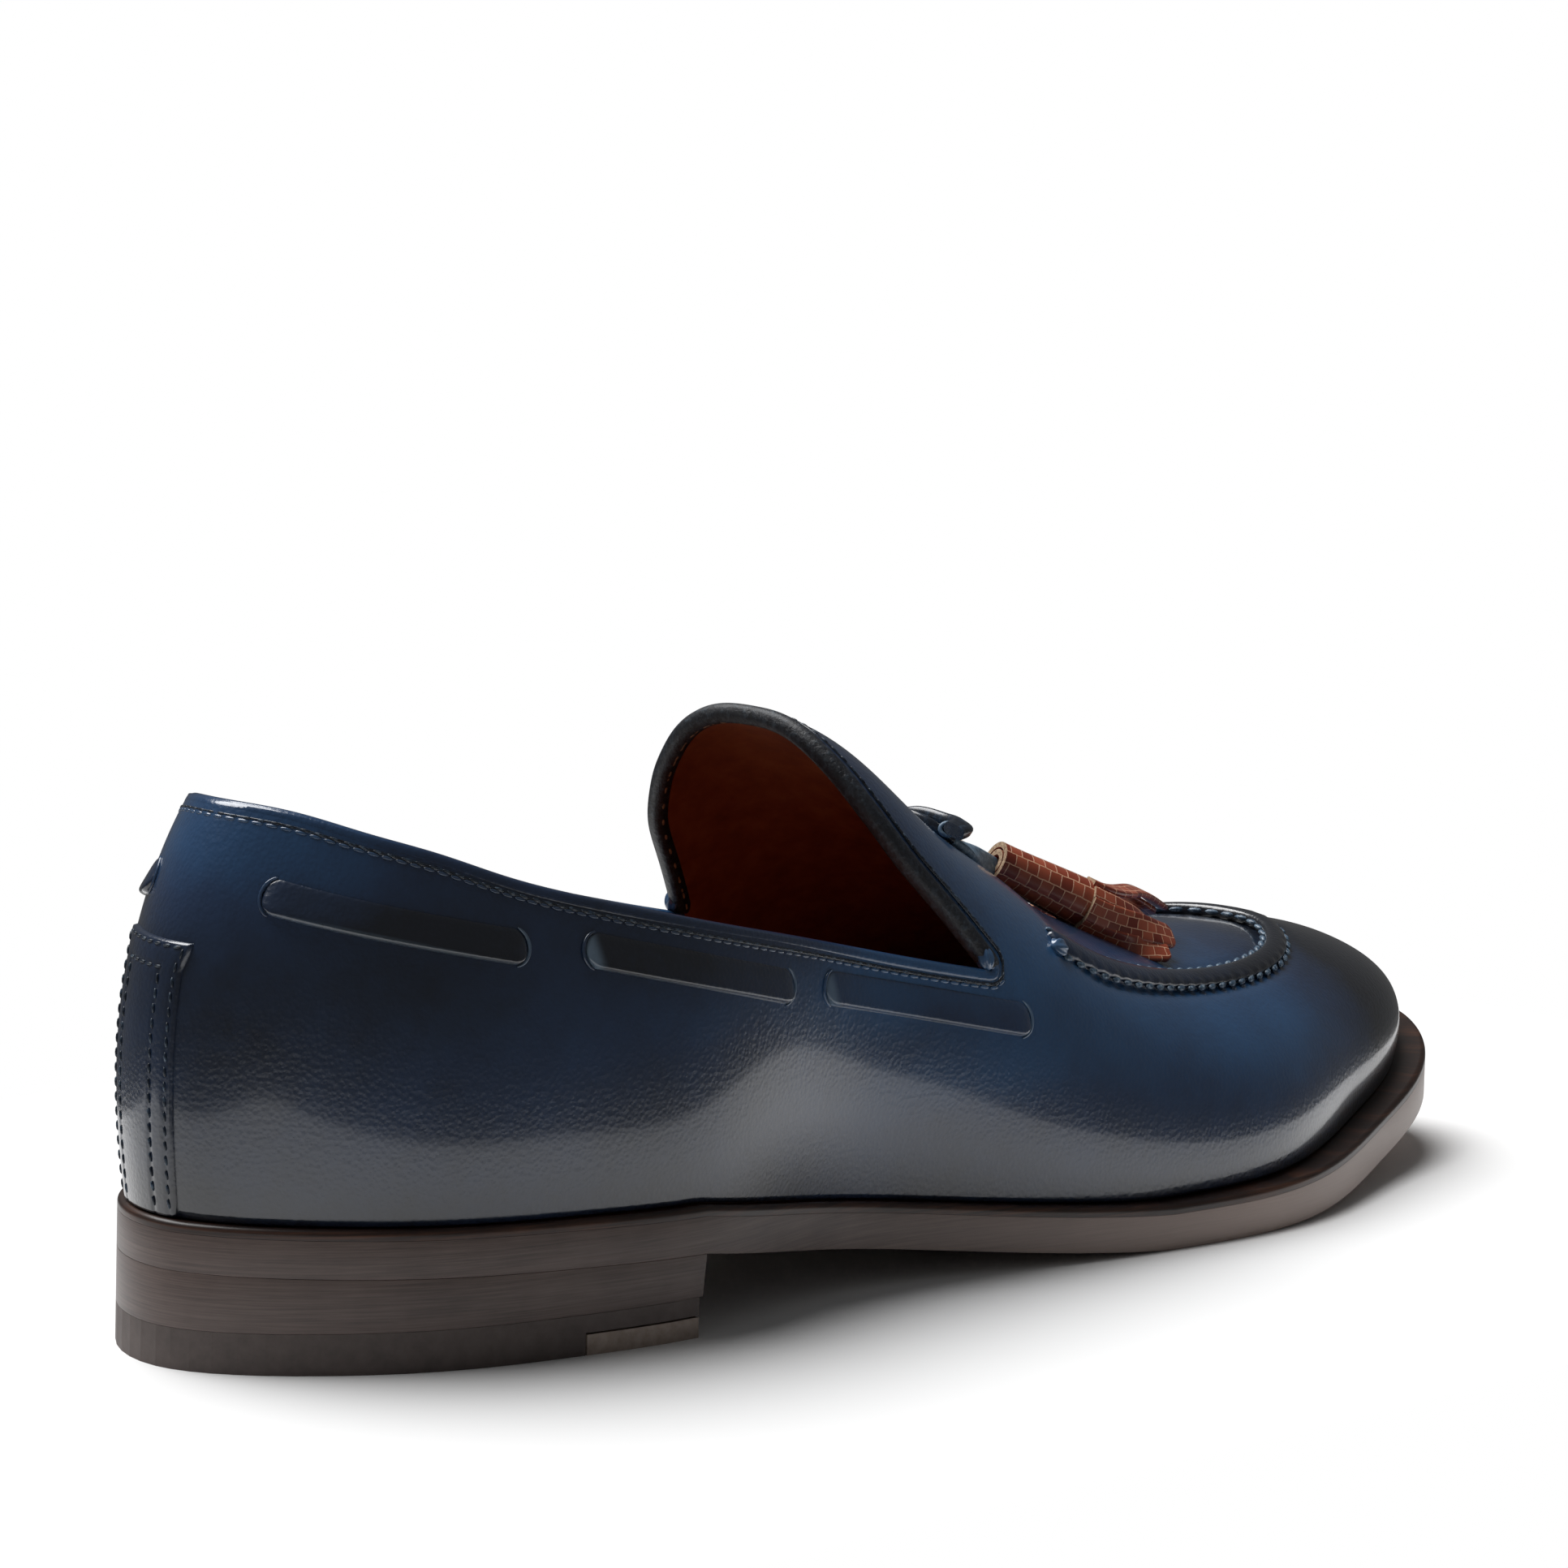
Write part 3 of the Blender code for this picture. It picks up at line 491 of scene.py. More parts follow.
# waxed linen thread in pale slate; its palest flecks are painted glints
threadLook = {"dark": "#22303f", "mid": "#4d647a", "light": "#aebfcb", "layer": 0.7 * mm,
              "roughness": 0.35}
# the same thread where the finish has darkened it, with pale spots that are partly wax and partly painted
# glints
darkThreadLook = {"dark": "#10161f", "mid": "#1b2836", "light": "#5c7083", "layer": 1.1 * mm,
                  "roughness": 0.4}
# raw flesh edge of the split leather: beige and fibrous, no gloss
rawLook = {"dark": "#6e5643", "mid": "#a58a6e", "light": "#cdb496", "layer": 0.45 * mm,
           "roughness": 0.85}


fibreStops = (0.32, 0.52, 0.72)


def makeFibre(name, look, bumpHeight=0.15 * mm, strength=0.3, coat=0.0):
    # one noise, as large as the look's layer, gives both the tones and the height
    made, tree, shader = newMaterial(name, look["roughness"], Coat_Weight=coat, Coat_Roughness=0.2)
    fibre = noise(tree, objectPlace(tree), look["layer"], 6.0, 0.65)
    colour = rampColour(tree, fibre, fibreStops, (look["dark"], look["mid"], look["light"]))
    finishShader(tree, shader, colour, fibre, strength, bumpHeight)
    return made


# calf embossed with staggered lizard-like scales, dyed red-brown and glazed; the grooves between the
# scales stay pale. The UV map is in millimetres along and across each strip
scaleLook = {
    "dark": "#7c2b18", "mid": "#b65b3f", "groove": "#ecb491", "scaleLong": 2.3, "scaleHigh": 1.9,
    "grooveWide": 0.2, "grooveSoft": 0.3, "wobble": (0.5, 0.35, 0.0), "bump": 0.6,
    "bumpHeight": 0.00025, "roughness": 0.32,
}


def makeScales():
    # bricks in staggered rows, their places moved a little by a noise
    made, tree, shader = newMaterial("scale embossed calf", scaleLook["roughness"], Coat_Weight=0.4,
                                     Coat_Roughness=0.18)
    uv = addNode(tree, "ShaderNodeUVMap", {"uv_map": "millimetres"})
    wobble = addNode(tree, "ShaderNodeTexNoise", None, {"Vector": uv.outputs[0], "Scale": 0.5})
    moved = addNode(tree, "ShaderNodeVectorMath", {"operation": "MULTIPLY_ADD"},
                    {0: wobble.outputs["Color"], 1: scaleLook["wobble"], 2: uv.outputs[0]})
    brick = addNode(tree, "ShaderNodeTexBrick", None,
                    {"Vector": moved.outputs[0], "Color1": linear(scaleLook["dark"]),
                     "Color2": linear(scaleLook["mid"]), "Mortar": linear(scaleLook["groove"]),
                     "Scale": 1.0, "Mortar Size": scaleLook["grooveWide"] / 2,
                     "Mortar Smooth": scaleLook["grooveSoft"], "Brick Width": scaleLook["scaleLong"],
                     "Row Height": scaleLook["scaleHigh"]})
    finishShader(tree, shader, brick.outputs["Color"], brick.outputs["Fac"], scaleLook["bump"],
                 scaleLook["bumpHeight"], invert=True)
    return made


materials = {
    "calf": makeCalf(),
    "soleEdge": makeSoleEdge("waxed sole leather edge", soleEdgeLook),
    "welt": makeSoleEdge("waxed welt leather", weltLook),
    "lift": makeFibre("matt heel rubber", liftLook),
    "liftFront": makeFibre("buffed lift leather", liftFrontLook),
    "lining": makeFibre("vegetable tanned lining", liningLook),
    "turned": makeFibre("crumpled turned calf edge", turnedLook, bumpHeight=0.4 * mm, strength=0.8, coat=0.1),
    "lace": makeFibre("slate calf lace", laceLook),
    "knot": makeFibre("glazed dark lace", knotLook, coat=0.5),
    "thread": makeFibre("waxed linen thread", threadLook),
    "darkThread": makeFibre("dyed linen thread", darkThreadLook),
    "raw": makeFibre("raw leather edge", rawLook, strength=0.6),
    "scales": makeScales(),
}
print("materials made")


# helpers that put arrays into meshes


def gridFaces(rows, columns, start=0, closeRows=False, closeColumns=False):
    # four corners of each cell of a grid of points, numbered row by row
    i = np.arange(rows if closeRows else rows - 1)
    j = np.arange(columns if closeColumns else columns - 1)
    a = i[:, None] * columns + j[None, :]
    b = i[:, None] * columns + (j[None, :] + 1) % columns
    c = ((i[:, None] + 1) % rows) * columns + (j[None, :] + 1) % columns
    d = ((i[:, None] + 1) % rows) * columns + j[None, :]
    return np.stack([a, b, c, d], axis=-1).reshape(-1, 4) + start


def joinGrids(grids):
    # several open grids of points as one list of points and faces
    points, faces, start = [], [], 0
    for grid in grids:
        rows, columns = grid.shape[:2]
        points.append(grid.reshape(-1, 3))
        faces.append(gridFaces(rows, columns, start))
        start += rows * columns
    return np.concatenate(points), np.concatenate(faces)


def edgeStrips(upper, lower):
    # the four strips that join the edges of two open grids
    cuts = (np.s_[0], np.s_[-1], np.s_[:, 0], np.s_[:, -1])
    return [np.stack([upper[cut], lower[cut]]) for cut in cuts]


def slab(upper, lower):
    return joinGrids([upper, lower] + edgeStrips(upper, lower))


def meshObject(name, points, faces, finishes, weld=0.0, autoSharp=None, slots=None):
    mesh = bpy.data.meshes.new(name)
    mesh.from_pydata((points + shift).tolist(), [], [list(map(int, face)) for face in faces])
    if slots is not None:
        mesh.polygons.foreach_set("material_index", np.asarray(slots, np.int32))
    if weld:
        bm = bmesh.new()
        bm.from_mesh(mesh)
        bmesh.ops.remove_doubles(bm, verts=bm.verts, dist=weld)
        bmesh.ops.dissolve_degenerate(bm, edges=bm.edges, dist=weld)
        bmesh.ops.recalc_face_normals(bm, faces=bm.faces)
        bm.to_mesh(mesh)
        bm.free()
    mesh.shade_smooth()
    if autoSharp is not None:
        mesh.set_sharp_from_angle(angle=math.radians(autoSharp))
    made = bpy.data.objects.new(name, mesh)
    for finish in finishes:
        mesh.materials.append(finish)
    bpy.context.scene.collection.objects.link(made)
    return made


def coordinates(piece):
    flat = np.empty(len(piece.data.vertices) * 3)
    piece.data.vertices.foreach_get("co", flat)
    return flat.reshape(-1, 3)


def setAttribute(piece, name, values):
    layer = piece.data.attributes.new(name, "FLOAT", "POINT")
    layer.data.foreach_set("value", np.asarray(values, np.float32))


# where the dye is thin (or, under 0, burnished): share of length, height in shares of instepHeight,
# half length, half height, strength
patinaRows = [
    (0.040, 0.90, 0.05, 0.10, 0.30), (0.10, 0.66, 0.12, 0.12, -0.10), (0.32, 0.58, 0.16, 0.08, 0.14),
    (0.50, 0.52, 0.10, 0.08, 0.20), (0.56, 0.62, 0.09, 0.22, 0.26), (0.66, 0.44, 0.10, 0.12, 0.24),
    (0.78, 0.33, 0.11, 0.11, 0.40), (0.26, 0.36, 0.16, 0.10, -0.06), (0.47, 0.36, 0.12, 0.07, 0.06),
    (0.72, 0.52, 0.10, 0.06, 0.10), (0.92, 0.42, 0.11, 0.28, -0.50), (0.41, 0.55, 0.08, 0.10, 0.24),
    (0.48, 0.36, 0.10, 0.07, 0.14), (0.53, 0.86, 0.06, 0.20, 0.30),
]


def patinaAndShadeAt(points):
    # sum of soft round patches over the side view, less the burnished toe and heel, and less a painted shade
    # along the feather edge
    x = points[:, 0] / last["soleLength"]
    z = points[:, 2] / last["instepHeight"]
    value = np.full(len(points), 0.16)
    for row in patinaRows:
        value += row[4] * np.exp(-((x - row[0]) / row[2]) ** 2 - ((z - row[1]) / row[3]) ** 2)
    # painted shade: darker along the bottom of the upper, next to the welt
    foot = (points[:, 2] - upperBottom(points[:, 0])) / (7 * mm)
    value -= 0.16 * np.exp(-np.clip(foot, 0, None) ** 2)
    value -= 0.22 * smoothStep(0.90, 1.0, x) + 0.10 * smoothStep(0.10, 0.0, x) * smoothStep(0.85, 0.6, z)
    return value


def finishCalf(piece, wearAndSheen=0.0, darker=0.0):
    points = coordinates(piece) - shift
    setAttribute(piece, "patinaAndShade", patinaAndShadeAt(points) - darker)
    setAttribute(piece, "wearAndSheen", np.zeros(len(points)) + wearAndSheen)


def sweep(path, across, rise, profile, scale=None, closed=False):
    # a profile carried along a path: point = path + across * p0 + rise * p1, scaled at each place
    scale = np.ones((len(path), 1)) if scale is None else np.asarray(scale).reshape(len(path), -1)
    widths = profile[None, :, 0] * scale[:, :1]
    heights = profile[None, :, 1] * scale[:, -1:]
    points = path[:, None] + across[:, None] * widths[..., None] + rise[:, None] * heights[..., None]
    rows, columns = points.shape[:2]
    faces = gridFaces(rows, columns, closeRows=closed, closeColumns=True).tolist()
    if not closed:
        faces.append(list(range(columns))[::-1])
        faces.append(list(range((rows - 1) * columns, rows * columns)))
    return points.reshape(-1, 3), faces


def ovalProfile(halfWidth, halfHeight, sides, power=1.0):
    # ellipse whose sine and cosine are taken to a power: under 1 it grows square
    turn = np.linspace(0, 2 * math.pi, sides, endpoint=False) + math.pi / sides
    c, s = np.cos(turn), np.sin(turn)
    return np.stack([halfWidth * np.sign(c) * np.abs(c) ** power,
                     halfHeight * np.sign(s) * np.abs(s) ** power], axis=1)


def mergeParts(parts):
    # several (points, faces) lists as one
    points, faces, start = [], [], 0
    for some, cells in parts:
        points.append(some)
        faces.extend([[int(k) + start for k in cell] for cell in cells])
        start += len(some)
    return np.concatenate(points), faces


def stitchParts(path, normal, stitch):
    # one small ellipsoid for each stitch along a path, half sunk and turned a little on the leather
    travel = lengths(path)
    count = max(2, int(travel[-1] / stitch["pitch"]))
    at = (np.arange(count) + 0.5) * travel[-1] / count
    here = valuesAlong(at, travel, path)
    out = unit(valuesAlong(at, travel, normal))
    ahead = unit(valuesAlong(at, travel, np.gradient(path, axis=0)))
    across = unit(np.cross(out, ahead))
    lean = math.radians(stitch.get("lean", 0))
    ahead, across = (ahead * math.cos(lean) + across * math.sin(lean),
                     across * math.cos(lean) - ahead * math.sin(lean))
    rings, sides = 5, 8
    polar = np.linspace(0.12, math.pi - 0.12, rings)
    turn = np.linspace(0, 2 * math.pi, sides, endpoint=False)
    along = np.cos(polar)[:, None] * np.ones(sides) * stitch["length"] / 2
    wide = np.sin(polar)[:, None] * np.cos(turn) * stitch["width"] / 2
    high = np.sin(polar)[:, None] * np.sin(turn) * stitch["height"] / 2 + stitch.get("stand", 0)
    shape = [part[None, :, :, None] for part in (along, wide, high)]
    points = (here[:, None, None] + ahead[:, None, None] * shape[0] + across[:, None, None] * shape[1]
              + out[:, None, None] * shape[2])
    cell = gridFaces(rings, sides, closeColumns=True)
    body = (cell[None] + np.arange(count)[:, None, None] * rings * sides).reshape(-1, 4).tolist()
    starts = np.arange(count)[:, None] * rings * sides
    body += (starts + np.arange(sides)[::-1]).tolist()
    body += (starts + (rings - 1) * sides + np.arange(sides)).tolist()
    return points.reshape(-1, 3), body


def carry(piece, slotName, *replaced):
    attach(piece, "root")
    if replaced:
        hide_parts(*replaced)
    return piece


def calfPiece(name, points, faces, *replaced, wearAndSheen=0.0, darker=0.0, **options):
    piece = meshObject(name, points, faces, [materials["calf"]], **options)
    finishCalf(piece, wearAndSheen, darker)
    return carry(piece, "navy_calf", *replaced)


# camera, as the photograph: a long lens low behind the lateral side
viewPoint = {
    "place": (-0.819311, -0.876718, 0.282667), "heading": 47.52, "down": 9.0, "roll": 1.60,
    "focalPixels": 9845.823, "framePixels": 1932, "sensorWide": 36,
}


def makeCamera():
    heading, down, roll = (math.radians(viewPoint[key]) for key in ("heading", "down", "roll"))
    look = Vector((math.sin(heading) * math.cos(down), math.cos(heading) * math.cos(down),
                   -math.sin(down)))
    right = Vector((math.cos(heading), -math.sin(heading), 0))
    up = right.cross(look)
    turnedRight = right * math.cos(roll) + up * math.sin(roll)
    turnedUp = up * math.cos(roll) - right * math.sin(roll)
    data = bpy.data.cameras.new("studio camera")
    data.sensor_width = viewPoint["sensorWide"]
    data.lens = viewPoint["focalPixels"] / viewPoint["framePixels"] * viewPoint["sensorWide"]
    data.clip_start, data.clip_end = 0.01, 100
    camera = bpy.data.objects.new("studio camera", data)
    axes = Matrix((turnedRight, turnedUp, -look)).transposed().to_4x4()
    camera.matrix_world = Matrix.Translation(Vector(viewPoint["place"]) + Vector(shift)) @ axes
    bpy.context.scene.collection.objects.link(camera)
    bpy.context.scene.camera = camera


makeCamera()

# the two lace ends: the knot's part of each, and how the pale stretch thins and turns
laceSpec = {"width": 4.0 * mm, "thick": 1.5 * mm, "cadThick": 1.8 * mm, "steps": 60, "knotPart": 0.47,
            "knotThick": 1.5, "thinFrom": 0.38, "turnFrom": 0.5, "turnTo": 0.85, "turn": 0.75,
            "facing": (-0.35, 0.9, 0.2)}
# their route, the CAD's: share of length, share of ballWidth, clear of the vamp in mm
laceRows = {
    "lateral": [
        (0.556, 0.070, 0.1), (0.553, 0.045, 0.0), (0.5525, 0.015, 0.0), (0.5535, -0.020, 0.0),
        (0.5565, -0.052, -0.1), (0.5620, -0.072, -0.3), (0.5705, -0.0780, -0.3), (0.5810, -0.0730, 0.0),
        (0.5940, -0.0610, 0.3), (0.610, -0.0430, 0.8), (0.620, -0.037, 1.0),
    ],
    "medial": [
        (0.557, -0.105, 0.7), (0.565, -0.092, 2.3), (0.570, -0.058, 2.6), (0.571, -0.012, 2.8),
        (0.571, 0.030, 2.3), (0.576, 0.060, 1.3), (0.586, 0.070, 0.7), (0.599, 0.065, 0.6),
        (0.614, 0.056, 1.0), (0.624, 0.0535, 1.1),
    ],
}


def vampPlaces(rows):
    rows = np.asarray(rows, float)
    plan = rows[:, :2] * (last["soleLength"], last["ballWidth"])
    return overVamp(plan, rows[:, 2])


def smoothPath(points, count):
    travel = lengths(points)
    return cubicRows(travel, points, np.linspace(0, travel[-1], count))


def makeLaceEnd(sideName):
    # the lace is flat. In the knot it lies level with the vamp, doubled and dark; its last stretch
    # turns its pale flesh side outward and goes into the tassel's head
    rows = [(x, y, clear * mm + laceSpec["cadThick"] / 2) for x, y, clear in laceRows[sideName]]
    path = smoothPath(vampPlaces(rows), laceSpec["steps"])
    part = lengths(path) / lengths(path)[-1]
    ahead = unit(np.gradient(path, axis=0))
    turn = laceSpec["turn"] * smoothStep(laceSpec["turnFrom"], laceSpec["turnTo"], part)[:, None]
    facing = np.array(laceSpec["facing"]) * (1, sideSigns[sideName], 1)
    out = unit(vampNormal(path[:, :2]) * (1 - turn) + facing * turn)
    across = unit(np.cross(ahead, out))
    rise = np.cross(across, ahead)
    profile = ovalProfile(laceSpec["width"] / 2, laceSpec["thick"] / 2, 16, 0.55)
    thin = smoothStep(laceSpec["thinFrom"], laceSpec["knotPart"], part)
    thick = laceSpec["knotThick"] + (1 - laceSpec["knotThick"]) * thin
    points, faces = sweep(path, across, rise, profile, np.column_stack([np.ones(len(path)), thick]))
    ring = np.arange(len(path) - 1) >= laceSpec["knotPart"] * len(path)
    slots = np.append(np.repeat(ring.astype(int), len(profile)), [0, 1])
    piece = meshObject("laceEnd." + sideName, points, faces, [materials["knot"], materials["lace"]],
                       autoSharp=50, slots=slots)
    carry(piece, "blue_lace", "lace_end_" + sideName)
    return piece, path


laceEnds = {name: makeLaceEnd(name) for name in sideSigns}
print("lace ends made")

# eyelets that the lace comes out of: a pale rolled ring round a hole, whose shade is painted on a sunk dark
# disc, beside the knot
eyeletSpec = {"place": (0.5590, 0.0890), "clear": 1.5 * mm, "half": (1.35 * mm, 1.05 * mm),
              "tube": 0.40 * mm, "facing": (-0.55, 0.75, 0.35), "steps": 40, "sunk": 0.25 * mm}


def makeEyelet(sideName):
    # ellipse in the plane square to facing, swept with a round tube, and a sunk dark disc inside it as
    # painted shade in the hole
    way, steps = sideSigns[sideName], eyeletSpec["steps"]
    x, y = eyeletSpec["place"]
    centre = vampPlaces([(x, y * way, eyeletSpec["clear"])])[0]
    out = unit(np.array(eyeletSpec["facing"]) * (1, way, 1))
    level = unit(np.cross(np.array((0, 0, 1.0)), out))
    tall = np.cross(out, level)
    turn = np.linspace(0, 2 * math.pi, steps, endpoint=False)
    wide, high = eyeletSpec["half"]
    around = level * (np.cos(turn) * wide)[:, None] + tall * (np.sin(turn) * high)[:, None]
    ring = sweep(centre + around, unit(around), np.tile(out, (steps, 1)),
                 ovalProfile(eyeletSpec["tube"], eyeletSpec["tube"], 10), closed=True)
    # painted shade: a dark disc closes the hole
    disc = np.vstack([centre + around * share - out * eyeletSpec["sunk"] for share in (1.0, 0.5, 0.02)])
    cells = gridFaces(3, steps, closeColumns=True).tolist() + [list(range(2 * steps, 3 * steps))]
    points, faces = mergeParts([ring, (disc, cells)])
    slots = [0] * len(ring[1]) + [1] * len(cells)
    eyelet = meshObject("eyelet." + sideName, points, faces, [materials["lace"], materials["knot"]],
                        slots=slots)
    carry(eyelet, "blue_lace")


for sideName in sideSigns:
    makeEyelet(sideName)
print("eyelets made")

# upper: calf outside, lining inside, as fine grids on the last
upperSpec = {
    "quarter": 150, "vamp": 122, "lowRows": 52, "highRows": 54, "tongue": 20,
    "calfThick": 0.7 * mm, "liningOut": 1.9 * mm, "liningThick": 0.5 * mm, "plugSink": 0.7 * mm,
    "seamTrough": 0.5 * mm, "troughWide": 1.4 * mm, "troughOut": 2.4 * mm, "waves": 0.10 * mm,
    "waistDent": 1.05 * mm,
}
# hollows of the vamp, alike on both sides, in metres: middle's x and distance from the middle plane,
# half length, half width; share of waistDent. The knot's pull makes the first, the tassels the other
hollowRows = [(0.157, 0.012, 0.012, 0.013, 1.0), (0.188, 0.0, 0.018, 0.020, 0.85)]


def apronPath(count):
    # plan points round the apron, lateral side first, and the direction out from it
    rows = np.asarray(apronRows) * (last["soleLength"], last["ballWidth"])
    rows = np.vstack([rows * (1, -1), rows[-2::-1]])
    rows[:, 1] += readRows(middleRows, rows[:, 0], last["ballWidth"])
    travel = lengths(rows)
    path = cubicRows(travel, rows, np.linspace(0, travel[-1], count))
    ahead = unit(np.gradient(path, axis=0))
    return path, np.stack([ahead[:, 1], -ahead[:, 0]], axis=1)


apronLine, apronOut = apronPath(240)


def relief(points):
    # how far the calf stands off the last: the plug lies sunk inside the seam, with a soft trough on
    # both sides of the roll, and low waves come from handling
    flat = points.reshape(-1, 3)
    gaps = flat[:, None, :2] - apronLine[None, ::3]
    nearest = np.argmin((gaps ** 2).sum(-1), axis=1)
    reach = gaps[np.arange(len(flat)), nearest]
    signed = (reach * apronOut[::3][nearest]).sum(-1)
    share = flat[:, 0] / last["soleLength"]
    present = smoothStep(0.575, 0.61, share) * (flat[:, 2] > 0.028)
    sink = -upperSpec["plugSink"] * smoothStep(0.6 * mm, -1.6 * mm, signed)
    fromTrough = (np.abs(signed) - upperSpec["troughOut"]) / upperSpec["troughWide"]
    trough = -upperSpec["seamTrough"] * np.exp(-fromTrough ** 2)
    x, y, z = flat.T
    wave = np.sin(x / 0.017 + 1.3 * np.sin(z / 0.013)) * np.sin(z / 0.011 + y / 0.03)
    hollow = sum(part * np.exp(-((x - atX) / long) ** 2 - ((np.abs(y) - atY) / wide) ** 2)
                 for atX, atY, long, wide, part in hollowRows)
    dent = -upperSpec["waistDent"] * hollow * smoothStep(0.030, 0.040, z)
    return (present * (sink + trough) + dent + upperSpec["waves"] * wave).reshape(points.shape[:-1])


def upperGrids(detail, distance, shaped):
    start, end = featherLine[:, 0].min(), featherLine[:, 0].max()
    lowShare = np.linspace(0, 1, int(upperSpec["lowRows"] * detail))
    highShare = np.linspace(0, 1, int(upperSpec["highRows"] * detail))
    half = quarterShares(int(upperSpec["quarter"] * detail))
    ahead = np.linspace(0, math.pi / 2, int(upperSpec["vamp"] * detail))
    vamp = throatX + (end - throatX) * np.sin(ahead)
    grids = []

    def stand(x, side, angle):
        points = lastPoint(x, side, angle)
        raised = np.full(points.shape[:-1], distance)
        if shaped:
            raised = raised + relief(points)
        return points + lastNormal(x, side, angle) * raised[..., None]

    for side in (-1, 1):
        sideThroat = throats[side]
        fade = np.clip(1 - (vamp - throatX) / (last["throatBlend"] * last["soleLength"]), 0, 1) ** 2
        setback = (sideThroat - throatX) * fade
        quarter = start + (sideThroat - start) * half
        base = collarAngle(throatX)
        corner = base + (collarAngle(sideThroat) - base) * fade
        rise = corner + (math.pi / 2 - corner) * highShare[:, None]
        grids.append(stand(quarter[None, :], side, collarAngle(quarter)[None, :] * lowShare[:, None]))
        grids.append(stand((vamp + setback)[None, :], side, corner[None, :] * lowShare[:, None]))
        vampX = vamp + setback * (1 - highShare[:, None])
        grids.append(stand(vampX, side, rise))
        edge = vampX[:, :1]
        back = edge - tongueBack(highShare)[:, None]
        tongueX = back + (edge - back) * np.linspace(0, 1, int(upperSpec["tongue"] * detail))
        grids.append(stand(tongueX, side, np.broadcast_to(rise[:, :1], tongueX.shape)))
    return grids


def makeSkin(name, detail, distance, thickness, finish, shaped):
    points, faces = joinGrids(upperGrids(detail, distance, shaped))
    piece = meshObject(name, points, faces, [finish], weld=0.02 * mm)
    front = max(piece.data.polygons, key=lambda face: face.center.x)
    if front.normal.x < 0:
        piece.data.flip_normals()
    wall = piece.modifiers.new("wall", "SOLIDIFY")
    wall.thickness = thickness
    wall.offset = -1
    wall.use_even_offset = False
    return piece


calfUpper = makeSkin("upper.calf", 1.0, 0.0, upperSpec["calfThick"], materials["calf"], True)
finishCalf(calfUpper)
carry(calfUpper, "navy_calf", "upper")
lining = makeSkin("upper.lining", 0.5, -upperSpec["liningOut"], upperSpec["liningThick"],
                  materials["lining"], False)
carry(lining, "tan_lining")
print("upper made")

# rim round the collar and tongue: turned edge, raw lining edge and a stitch row
rimSpec = {"collarHalf": 1.25 * mm, "tongueHalf": 1.7 * mm, "centreIn": 1.05 * mm, "drop": 0.75 * mm,
           "rawRadius": 0.34 * mm, "rawIn": 2.35 * mm, "rowIn": 2.2 * mm, "rowInTongue": 1.2 * mm,
           "scallopIn": 0.55 * mm, "grooveSunk": 0.18 * mm, "groove": (0.28 * mm, 0.34 * mm)}
rimStitch = {"pitch": 2.3 * mm, "length": 1.5 * mm, "width": 0.42 * mm, "height": 0.42 * mm,
             "stand": 0.05 * mm}
# leather that the thread pulls up into small scallops under the collar's row; their pale tone is a painted
# highlight on their lips
scallop = {"pitch": 2.3 * mm, "length": 2.0 * mm, "width": 0.6 * mm, "height": 0.36 * mm}


def rimParameters():
    # the opening's edge as column, side and angle: lateral collar, tongue and medial collar in turn
    start = featherLine[:, 0].min()
    shares = quarterShares(110)
    up = np.linspace(0, 1, 70)
    halves = []
    for way, throat in throats.items():
        collarX = start + (throat - start) * shares
        corner = collarAngle(throat)
        backX = throatX + (throat - throatX) * (1 - up) - tongueBack(up)
        x = np.concatenate([collarX, backX[1:]])
        angle = np.concatenate([collarAngle(collarX), corner + (math.pi / 2 - corner) * up[1:]])
        onTongue = np.concatenate([np.zeros(len(collarX)), np.ones(len(backX) - 1)])
        halves.append((x, np.full(len(x), way), angle, onTongue))
    # the medial half runs back to the heel, without the two end points that both halves share
    return [np.concatenate([lateral, medial[::-1][1:-1]]) for lateral, medial in zip(*halves)]


def evenLoop(points, extra, count, blur):
    # equal steps round a closed line, then rounded by a short moving average
    ring = np.vstack([points, points[:1]])
    more = np.vstack([extra, extra[:1]])
    travel = lengths(ring)
    at = np.linspace(0, travel[-1], count, endpoint=False)
    line = valuesAlong(at, travel, ring)
    others = valuesAlong(at, travel, more)
    for _ in range(blur):
        line = (np.roll(line, 1, axis=0) + 2 * line + np.roll(line, -1, axis=0)) / 4
        others = (np.roll(others, 1, axis=0) + 2 * others + np.roll(others, -1, axis=0)) / 4
    return line, others


def rimFrame(distance, count=620, blur=8):
    x, side, angle, onTongue = rimParameters()
    points = lastFace(x, side, angle, distance)
    normal = lastNormal(x, side, angle)
    line, others = evenLoop(points, np.column_stack([normal, onTongue]), count, blur)
    out = unit(others[:, :3])
    ahead = unit(np.roll(line, -1, axis=0) - np.roll(line, 1, axis=0))
    open_ = unit(np.cross(out, ahead))
    # the opening lies on one side all the way round: the top of the heel says which
    heel = int(np.argmin(line[:, 0]))
    if open_[heel, 2] < 0:
        open_ = -open_
    return line, out, open_, others[:, 3]


def makeRim():
    line, out, toOpening, onTongue = rimFrame(-rimSpec["centreIn"])
    tongue = smoothStep(0.2, 0.9, onTongue)
    half = rimSpec["collarHalf"] + (rimSpec["tongueHalf"] - rimSpec["collarHalf"]) * tongue
    path = line - toOpening * rimSpec["drop"]
    profile = ovalProfile(1.0, 1.0, 14, 0.85)
    scale = np.column_stack([half * 0.98, half])
    points, faces = sweep(path, out, toOpening, profile, scale, closed=True)
    onTongue = onTongue.repeat(len(profile))
    rim = meshObject("collar.rim", points, faces, [materials["calf"], materials["turned"]],
                     slots=onTongue > 0.5)
    finishCalf(rim, darker=0.30 * onTongue)
    carry(rim, "navy_calf")


